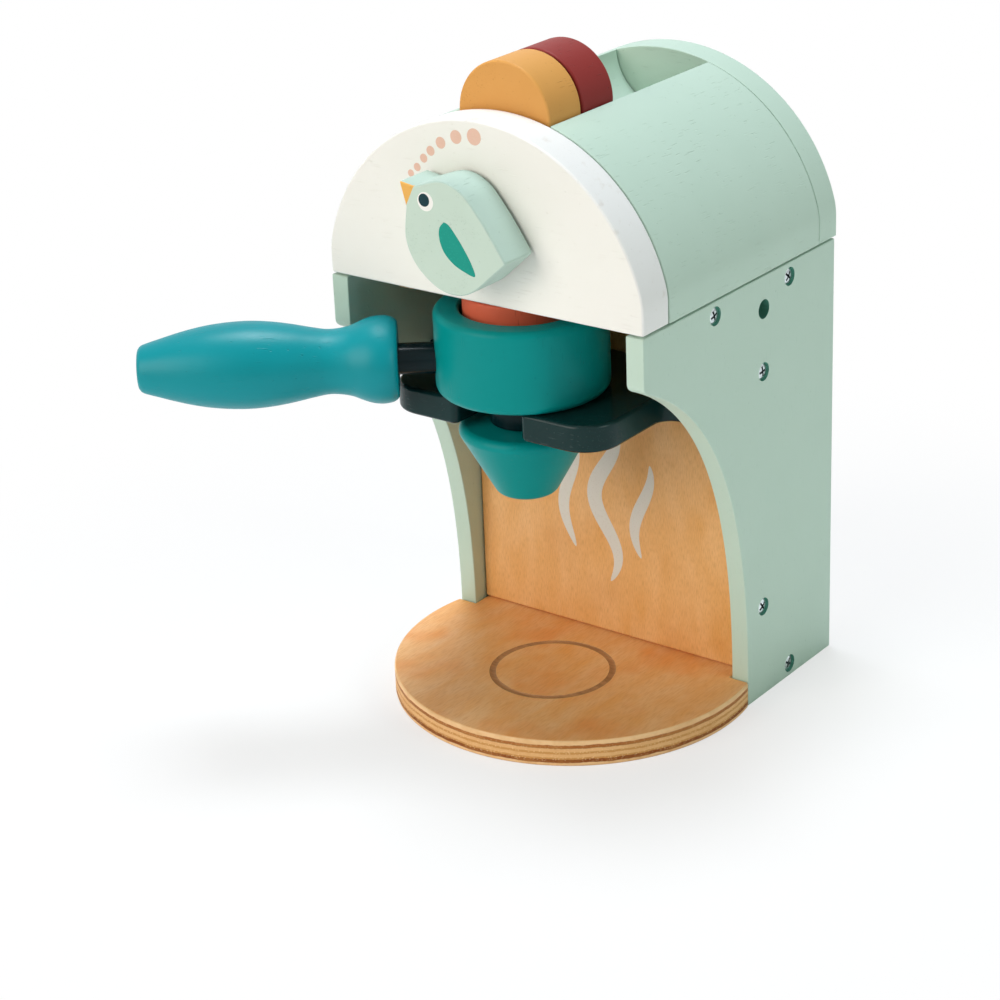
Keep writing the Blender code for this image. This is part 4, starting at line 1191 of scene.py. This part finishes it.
@dataclass
class Dome:
    """The white front fascia, the dome body with the pod trough, and the rear fascia."""

    spread: float = 0.0015
    drop: float = 0.00385
    shoulder_radius: float = 0.025
    trough_radius: float = 0.0185
    trough_drop: float = 0.00195
    dowel_radius: float = 0.003
    dowel_length: float = 0.016
    dowel_spread: float = 0.040
    dowel_rise: float = 0.021
    spindle_bore: float = 0.0033
    spindle_depth: float = 0.0113
    # Middle of each printed dot on the fascia and its radius
    dots: tuple[tuple[float, float, float], ...] = (
        (0.0, 0.2082, 0.0027), (-0.0071, 0.2072, 0.0022), (-0.0133, 0.2045, 0.0019),
        (-0.0175, 0.2013, 0.0016), (-0.0204, 0.1985, 0.00145), (-0.0232, 0.1952, 0.00135),
        (-0.0259, 0.1928, 0.0012),
    )

    @property
    def crown_radius(self) -> float:
        """Radius of the crown arc."""
        return FRAME.half + self.spread

    @property
    def top(self) -> float:
        """Height of the dome's top."""
        return FRAME.dome_floor - self.drop + self.crown_radius

    @property
    def trough_height(self) -> float:
        """Height of the trough's axis."""
        return self.top - self.trough_drop

    def outline(self, trough: bool) -> list[Point]:
        """The arch, with or without the trough in its crown."""
        f = FRAME
        centre = (0.0, f.dome_floor - self.drop)
        shoulder_x = f.half - self.shoulder_radius
        rise = math.sqrt((self.crown_radius - self.shoulder_radius) ** 2 - shoulder_x ** 2)
        join = math.atan2(rise, shoulder_x)
        right = (shoulder_x, centre[1] + rise)
        points = [(f.half, f.dome_floor)]
        points += arc(right, self.shoulder_radius, 0, join, 10)
        if trough:
            apart = self.trough_height - centre[1]
            lip_z = (self.crown_radius ** 2 - self.trough_radius ** 2 + apart ** 2) / (2 * apart)
            lip_x = math.sqrt(self.crown_radius ** 2 - lip_z ** 2)
            lip = math.atan2(lip_z, lip_x)
            dip = math.atan2(lip_z - apart, lip_x)
            points += arc(centre, self.crown_radius, join, lip, 36)[1:]
            points += arc((0.0, self.trough_height), self.trough_radius, dip, -math.pi - dip, 60)[1:]
            points += arc(centre, self.crown_radius, math.pi - lip, math.pi - join, 36)[1:-1]
        else:
            points += arc(centre, self.crown_radius, join, math.pi - join, 96)[1:-1]
        points += arc((-shoulder_x, right[1]), self.shoulder_radius, math.pi - join, math.pi, 10)
        points.append((-f.half, f.dome_floor))
        return points

    def dowel_lie(self, side: Side, joint: float) -> Matrix:
        """The lie of a dowel that crosses a joint at a depth, its own -z pointing back."""
        return Lie.FRONT.at((side.value * self.dowel_spread, joint - self.dowel_length / 2,
                             FRAME.dome_floor + self.dowel_rise))

    def dowel_bores(self, joint: float) -> list[bpy.types.Object]:
        """Cutters for the pair of dowels at one joint."""
        gap = FRAME.gap
        sunk = Matrix.Translation((0, 0, gap - OVERRUN))
        return [bore(self.dowel_radius + gap, self.dowel_length + 2 * gap - OVERRUN,
                     self.dowel_lie(side, joint) @ sunk, PINE) for side in Side]

    def build(self, screws: Screws) -> None:
        """Make the dome's slices, its dowels and its printed dots."""
        f = FRAME
        joints = (f.fascia + f.gap / 2, f.rear_fascia_front - f.gap / 2)
        # The fascia's edges take the greyer white: painted shade, with scuffs
        front = board("front_fascia_painted", self.outline(False), -f.fascia, 0.0, f.rim,
                      Lie.FRONT.at(), WHITE, WHITE_RIM_SHADED_AND_WORN, segments=4)
        spindle = bore(self.spindle_bore, self.spindle_depth, Lie.FRONT.at((0, 0, f.knob_axis)), PINE)
        cut(front, [spindle, *self.dowel_bores(joints[0])])
        settle(front, "white_paint", "front_fascia")
        body = board("dome_body_painted", self.outline(True), -f.dome_back, -f.dome_front, f.crisp,
                     Lie.FRONT.at(), MINT_DOME)
        cut(body, [*self.dowel_bores(joints[0]), *self.dowel_bores(joints[1]),
                   *screws.holes(PINE, "dome_screw")])
        settle(body, "mint_paint", "dome_body")
        rear = board("rear_fascia_painted", self.outline(False), -f.rear_fascia_back,
                     -f.rear_fascia_front, f.crisp, Lie.FRONT.at(), MINT_ARCH)
        cut(rear, self.dowel_bores(joints[1]))
        settle(rear, "mint_paint", "rear_fascia")
        for side in Side:
            for word, joint in zip(("front", "rear"), joints):
                name = f"{word}_dowel_{side.word}"
                pin = bar(f"{name}_beech", self.dowel_radius, self.dowel_length, f.pin_edge,
                          self.dowel_lie(side, joint), DOWEL_BEECH, steps=48)
                settle(pin, "plain_pine", name)
        dots = [circle((x, z), radius) for x, z, radius in self.dots]
        film = print_on("front_fascia_dot_print", dots, 0.0, Lie.FRONT.at(), CORAL_INK)
        settle(film, None, rides_with="front_fascia")


@dataclass
class Pods:
    """Three coffee pods, thick turned discs: two in the trough and one in the cup."""

    radius: float = 0.0178
    thickness: float = 0.0172
    rim: float = 0.0009
    spacing: float = 0.0008
    cup_shift: float = 0.0017

    def build(self, dome: Dome, cup_floor: float) -> None:
        """Make the pods: two for the dome, and one for a cup whose recess floor is at this height."""
        f = FRAME
        rest = dome.trough_height - dome.trough_radius + f.gap + self.radius
        first = f.dome_front + self.spacing
        second = first + self.thickness + self.spacing
        for word, finish, slot, lie in (
                ("yellow", OCHRE, "ochre_paint", Lie.FRONT.at((0, first, rest))),
                ("burgundy", BURGUNDY, "burgundy_paint", Lie.FRONT.at((0, second, rest))),
                ("terracotta", TERRACOTTA, "terracotta_paint",
                 Lie.FLAT.at((-self.cup_shift, f.dock, cup_floor + f.gap + self.thickness)))):
            pod = bar(f"pod_{word}_painted", self.radius, self.thickness, self.rim, lie, finish,
                      steps=144)
            settle(pod, slot, f"pod_{word}")


@dataclass
class ForkBracket:
    """The navy fork that the portafilter hangs in."""

    underside: float = 0.1090
    thickness: float = 0.0095
    front: float = 0.0005
    half_width: float = 0.0430
    bar_depth: float = 0.0257
    corner: float = 0.0125
    lip: float = 0.0025
    fillet: float = 0.0055
    rim: float = 0.0013
    slot_half: float = 0.0128

    @property
    def top(self) -> float:
        """Height of the fork's top face."""
        return self.underside + self.thickness

    def outline(self) -> list[Point]:
        """The fork from above: two prongs round the slot, filleted back to the cross bar."""
        f = FRAME
        rear = f.back_panel_front - f.gap
        right = [
            (self.slot_half, f.dock + self.slot_half, self.slot_half),
            (self.slot_half, self.front, self.lip),
            (self.half_width, self.front, self.corner),
            (self.half_width, rear - self.bar_depth, self.fillet),
            (f.board_half, rear - self.bar_depth, 0),
            (f.board_half, rear, 0),
        ]
        left = [(-x, y, radius) for x, y, radius in reversed(right)]
        return rounded(right + left, True, 14)

    def build(self, screws: Screws) -> None:
        """Make the fork."""
        fork = board("portafilter_bracket_painted", self.outline(), self.underside, self.top,
                     self.rim, Matrix(), NAVY_BOARD, segments=4)
        cut(fork, screws.holes(PINE, "bracket_screw"))
        settle(fork, "navy_paint", "portafilter_bracket")


@dataclass
class Portafilter:
    """The cup, neck, spout, rod and handle, all turned, on one upright and one level axis."""

    neck_radius: float = 0.0115
    tenon_radius: float = 0.005
    tenon_length: float = 0.006
    tenon_round: float = 0.0009
    crisp_round: float = 0.00045
    cup_radius: float = 0.0288
    cup_height: float = 0.0285
    recess_depth: float = 0.0127
    recess_radius: float = 0.0203
    rim_round: float = 0.0022
    mouth_round: float = 0.0012
    foot_round: float = 0.003
    spout_drop: float = 0.0022
    spout_top: float = 0.0238
    spout_tip: float = 0.0098
    spout_height: float = 0.0252
    spout_top_round: float = 0.0025
    spout_tip_round: float = 0.0035
    rod_radius: float = 0.0052
    rod_rise: float = 0.0112
    rod_start: float = 0.0218
    rod_in_handle: float = 0.024
    handle_start: float = 0.0407
    handle_length: float = 0.08485
    handle_radius: float = 0.0144
    # Length along the handle from its inner end, and radius there, as shares
    handle_profile: tuple[Point, ...] = (
        (0.0, 0.86), (0.010, 0.93), (0.030, 0.985), (0.065, 1.005), (0.100, 0.98), (0.135, 0.915),
        (0.190, 0.79), (0.262, 0.74), (0.330, 0.80), (0.400, 0.885), (0.480, 0.96), (0.560, 0.998),
        (0.634, 0.992), (0.716, 0.948), (0.790, 0.87), (0.860, 0.768), (0.930, 0.648),
        (0.972, 0.575), (0.990, 0.53), (1.0, 0.46),
    )

    def cup_bottom(self, fork: ForkBracket) -> float:
        """Height of the cup's foot on the fork."""
        return fork.top + FRAME.gap

    def cup_floor(self, fork: ForkBracket) -> float:
        """Height of the floor of the cup's recess."""
        return self.cup_bottom(fork) + self.cup_height - self.recess_depth

    def build(self, fork: ForkBracket) -> None:
        """Make the five turned pieces."""
        gap = FRAME.gap
        stand = Matrix.Translation((0, FRAME.dock, 0)) @ Matrix.Rotation(math.pi + DOCK_YAW, 4, "Z")
        bottom = self.cup_bottom(fork)
        rod_height = bottom + self.rod_rise
        socket, socket_depth = self.tenon_radius + gap, self.tenon_length + gap
        cup = turned("portafilter_cup_painted", rounded((
            (0, self.cup_height - self.recess_depth, 0),
            (self.recess_radius, self.cup_height - self.recess_depth, self.mouth_round),
            (self.recess_radius, self.cup_height, self.mouth_round),
            (self.cup_radius, self.cup_height, self.rim_round),
            (self.cup_radius, 0, self.foot_round),
            (socket, 0, 0), (socket, socket_depth, 0), (0, socket_depth, 0)), False, 7),
            stand @ Lie.FLAT.at((0, 0, bottom)), TEAL_CUP, steps=160)
        outward = Matrix.Rotation(math.pi / 2, 4, "Y")
        rod_bore = bore(self.rod_radius + gap, self.cup_radius - self.rod_start + gap,
                        stand @ Matrix.Translation((self.cup_radius, 0, rod_height)) @ outward,
                        TEAL_CUP)
        cut(cup, [rod_bore])
        settle(cup, "teal_paint", "portafilter_cup")
        spout_top = fork.underside - self.spout_drop
        height = fork.top - spout_top - gap
        tenon, radius = self.tenon_radius, self.neck_radius
        neck = turned("portafilter_neck_painted", rounded((
            (0, height + self.tenon_length, 0), (tenon, height + self.tenon_length, self.tenon_round),
            (tenon, height, 0), (radius, height, self.crisp_round), (radius, 0, self.crisp_round),
            (tenon, 0, 0), (tenon, -self.tenon_length, self.tenon_round),
            (0, -self.tenon_length, 0)), False, 5),
            stand @ Lie.FLAT.at((0, 0, spout_top + gap)), NAVY_TURNED, steps=96)
        settle(neck, "navy_paint", "portafilter_neck")
        spout = turned("portafilter_spout_painted", rounded((
            (0, -socket_depth, 0), (socket, -socket_depth, 0), (socket, 0, 0),
            (self.spout_top, 0, self.spout_top_round),
            (self.spout_tip, -self.spout_height, self.spout_tip_round),
            (0, -self.spout_height, 0)), False, 8), stand @ Lie.FLAT.at((0, 0, spout_top)),
            TEAL_CUP, steps=160)
        settle(spout, "teal_paint", "portafilter_spout")
        inward = Matrix.Rotation(-math.pi / 2, 4, "Y")
        rod = bar("portafilter_rod_painted", self.rod_radius,
                  self.handle_start + self.rod_in_handle - self.rod_start, self.crisp_round,
                  stand @ Matrix.Translation((self.rod_start, 0, rod_height)) @ inward, NAVY_TURNED)
        settle(rod, "navy_paint", "portafilter_rod")
        stations = [(self.handle_radius * radius, -self.handle_length * along)
                    for along, radius in self.handle_profile]
        skin = spline_through(stations, 5)
        hole, depth = self.rod_radius + gap, self.rod_in_handle + gap
        profile = [(0, -depth), (hole, -depth), (hole, 0), *skin, (0, -self.handle_length)]
        handle = turned("portafilter_handle_painted", profile,
                        stand @ Matrix.Translation((self.handle_start, 0, rod_height)) @ inward,
                        TEAL_HANDLE, steps=144)
        settle(handle, "teal_paint", "portafilter_handle")


@dataclass
class Knob:
    """The bird knob with its printed eye and wing, its spindle and its washer."""

    width: float = 0.0405
    height: float = 0.0364
    thickness: float = 0.0144
    shift: float = 0.0015
    rim: float = 0.0007
    # Faces whose normal has less than this along y belong to the front
    face_turn: float = -0.3
    hole_depth: float = 0.009
    spindle_radius: float = 0.003
    spindle_in_fascia: float = 0.011
    washer_radius: float = 0.0065
    washer_thickness: float = 0.0005
    # Shares of the width and height, anticlockwise, True where the corner is sharp
    outline_shares: tuple[tuple[float, float, bool], ...] = (
        (-0.49, 0.44, True), (-0.433, 0.22, True), (-0.455, -0.07, False), (-0.36, -0.30, False),
        (-0.16, -0.47, False), (0.04, -0.50, False), (0.20, -0.43, False), (0.35, -0.29, False),
        (0.51, -0.13, True), (0.40, 0.05, False), (0.28, 0.23, False), (0.11, 0.43, False),
        (-0.10, 0.50, False), (-0.345, 0.415, True),
    )
    # The two points of the outline that the beak's root runs between
    beak_root: tuple[int, int] = (1, -1)
    outline_step: float = 0.7 * MM
    wing_step: float = 0.4 * MM
    eye: Point = (-0.0086, 0.0112)
    eye_radius: float = 0.0021
    eye_ring: float = 0.0031
    eye_ring_shift: Point = (0.0005, -0.0004)
    # The wing, from the knob's axis, anticlockwise
    wing: tuple[Point, ...] = (
        (-0.0012, 0.0052), (-0.0030, 0.0030), (-0.0032, -0.0006), (-0.0016, -0.0046),
        (0.0018, -0.0078), (0.0062, -0.0098), (0.0102, -0.0106), (0.0090, -0.0068),
        (0.0062, -0.0022), (0.0032, 0.0018), (0.0006, 0.0046),
    )

    @property
    def stations(self) -> list[Point]:
        """The points that the bird's outline passes, from the knob's axis."""
        return [(x * self.width + self.shift, y * self.height) for x, y, _ in self.outline_shares]

    def outline(self) -> list[Point]:
        """The bird's outline: straight between sharp corners, and a smooth curve elsewhere."""
        stations = self.stations
        corners = [index for index, station in enumerate(self.outline_shares) if station[2]]
        outline: list[Point] = []
        for first, last in zip(corners, corners[1:] + [corners[0] + len(stations)]):
            span = [stations[index % len(stations)] for index in range(first, last + 1)]
            if len(span) > 2:
                outline += evenly_spaced(spline_through(span, 12), self.outline_step)[:-1]
            else:
                outline += span[:1]
        return outline

    def dip_beak(self, obj: bpy.types.Object) -> None:
        """Give the beak's face the last finish, up to a clean line across its root."""
        root_low, root_high = (Vector((*self.stations[index], 0)) for index in self.beak_root)
        across = (root_high - root_low).cross(Vector((0, 0, 1))).normalized()
        bm = bmesh.new()
        bm.from_mesh(obj.data)
        lie = Lie.FRONT.at((0, 0, FRAME.knob_axis))
        root = lie @ root_low
        normal = lie.to_3x3() @ across
        bmesh.ops.bisect_plane(bm, geom=[*bm.verts, *bm.edges, *bm.faces], dist=WELD, plane_co=root,
                               plane_no=normal)
        bm.normal_update()
        for face in bm.faces:
            beyond = (face.calc_center_median() - root).dot(normal) * (1 if normal.x < 0 else -1)
            if beyond > 0 and face.normal.y < self.face_turn:
                face.material_index = len(obj.data.materials) - 1
        bm.to_mesh(obj.data)
        bm.free()

    def build(self) -> None:
        """Make the bird, its prints, the spindle and the washer."""
        gap, axis = FRAME.gap, FRAME.knob_axis
        washer_front = -gap - self.washer_thickness
        back = washer_front - gap
        lie = Lie.FRONT.at((0, 0, axis))
        # The bird's sides take the darker mint: painted shade
        bird = board("knob_bird_painted", self.outline(), -back, self.thickness - back, self.rim, lie,
                     PALE_MINT, PALE_MINT_SHADED_SIDES, segments=4)
        bird.data.materials.append(BEAK_OCHRE.material())
        self.dip_beak(bird)
        cut(bird, [bore(self.spindle_radius + gap, self.hole_depth, Lie.REAR.at((0, back, axis)), PINE)])
        settle(bird, "pale_mint_paint", "knob")
        face = self.thickness - back
        ring = tuple(place + shift for place, shift in zip(self.eye, self.eye_ring_shift))
        wing = evenly_spaced(spline_through([*self.wing, self.wing[0]], 10), self.wing_step)[:-1]
        for name, outline, height, ink in (
                ("knob_wing_print", wing, face, TEAL_INK),
                ("knob_eye_ring_print", circle(ring, self.eye_ring), face, EYE_WHITE_INK),
                ("knob_eye_print", circle(self.eye, self.eye_radius), face + INK_RELIEF, EYE_INK)):
            film = print_on(name, [outline], height, lie, ink)
            settle(film, None, rides_with="knob")
        front = back - self.hole_depth + gap
        spindle = bar("knob_spindle_beech", self.spindle_radius, self.spindle_in_fascia - front,
                      FRAME.pin_edge, Lie.FRONT.at((0, front, axis)), DOWEL_BEECH, steps=48)
        settle(spindle, "plain_pine", "knob_spindle")
        inner = self.spindle_radius + gap
        washer = turned("knob_washer_fibre", (
            (inner, 0), (self.washer_radius, 0), (self.washer_radius, -self.washer_thickness),
            (inner, -self.washer_thickness)), Lie.FRONT.at((0, washer_front, axis)), FIBRE,
            steps=64, ring=True)
        settle(washer, "fibre", "knob_washer")


@dataclass
class Studio:
    """The pale floor, the white surround, the soft lamps and the camera."""

    azimuth: float = 37.71
    elevation: float = 23.52
    roll: float = 2.39
    lens: float = 95.5
    sensor: float = 36.0
    camera_place: Place = (0.4907, -0.62909, 0.43261)
    floor_size: float = 12.0
    surround: float = 0.08
    target: Place = (0.0, 0.05, 0.09)
    # Each lamp's name, place, size, watts and colour
    lamps: tuple[tuple[str, Place, float, float, str], ...] = (
        ("key_lamp", (-0.50, -1.52, 0.78), 1.15, 19.6, "#FFF8F0"),
        ("top_lamp", (-0.28, 0.26, 1.78), 0.6, 26.0, "#F0F7FF"),
        ("fill_lamp", (1.30, 0.02, 0.6), 0.5, 4.9, "#F4FFFA"),
    )

    def floor(self) -> None:
        """A matt floor that keeps the object's shadow and shows near white to the eye."""
        bm = bmesh.new()
        bmesh.ops.create_grid(bm, x_segments=1, y_segments=1, size=self.floor_size / 2)
        as_object("studio_floor", bm, Matrix(), [MattPaper()])

    def world(self) -> None:
        """An even surround: white where the eye, a gloss or a glass sees it, softer as light."""
        world = bpy.data.worlds.new("white_studio")
        world.use_nodes = True
        bpy.context.scene.world = world
        tree = world.node_tree
        path = add_node(tree, "LightPath").outputs
        seen = path["Is Camera Ray"]
        for ray in ("Is Glossy Ray", "Is Transmission Ray"):
            seen = add_node(tree, "Math", {0: seen, 1: path[ray]}, operation="ADD", use_clamp=True)
        strength = add_node(tree, "MapRange", {"Value": seen, "To Min": self.surround, "To Max": 1.0})
        connect(tree, tree.nodes["Background"], {"Strength": strength, "Color": "#FFFFFF"})

    def lamp(self, name: str, place: Place, size: float, watts: float, colour: str) -> None:
        """A square soft lamp that points at the object."""
        light = bpy.data.lights.new(name, "AREA")
        light.shape = "SQUARE"
        light.size = size
        light.energy = watts
        light.color = linear(colour)[:3]
        obj = bpy.data.objects.new(name, light)
        bpy.context.scene.collection.objects.link(obj)
        obj.location = place
        aim = Vector(self.target) - Vector(place)
        obj.rotation_euler = aim.to_track_quat("-Z", "Y").to_euler()

    def camera(self) -> None:
        """The camera at the photograph's viewing angle."""
        data = bpy.data.cameras.new("camera")
        data.lens = self.lens
        data.sensor_width = self.sensor
        obj = bpy.data.objects.new("camera", data)
        bpy.context.scene.collection.objects.link(obj)
        obj.matrix_world = Matrix.Translation(self.camera_place)
        for degrees, axis in ((self.azimuth, "Z"), (90 - self.elevation, "X"), (-self.roll, "Z")):
            obj.matrix_world @= Matrix.Rotation(math.radians(degrees), 4, axis)
        bpy.context.scene.camera = obj

    def build(self) -> None:
        """Set up the studio."""
        self.floor()
        self.world()
        for lamp in self.lamps:
            self.lamp(*lamp)
        self.camera()
        bpy.context.scene.view_settings.view_transform = "Standard"


def main() -> None:
    """Build every sub-assembly in order."""
    logging.basicConfig(level=logging.INFO, format="%(name)s %(message)s")
    screws, dome, fork, portafilter = Screws(), Dome(), ForkBracket(), Portafilter()
    Carcass().build(screws)
    dome.build(screws)
    fork.build(screws)
    portafilter.build(fork)
    Pods().build(dome, portafilter.cup_floor(fork))
    Knob().build()
    screws.build()
    Studio().build()


if __name__ == "__main__":
    main()
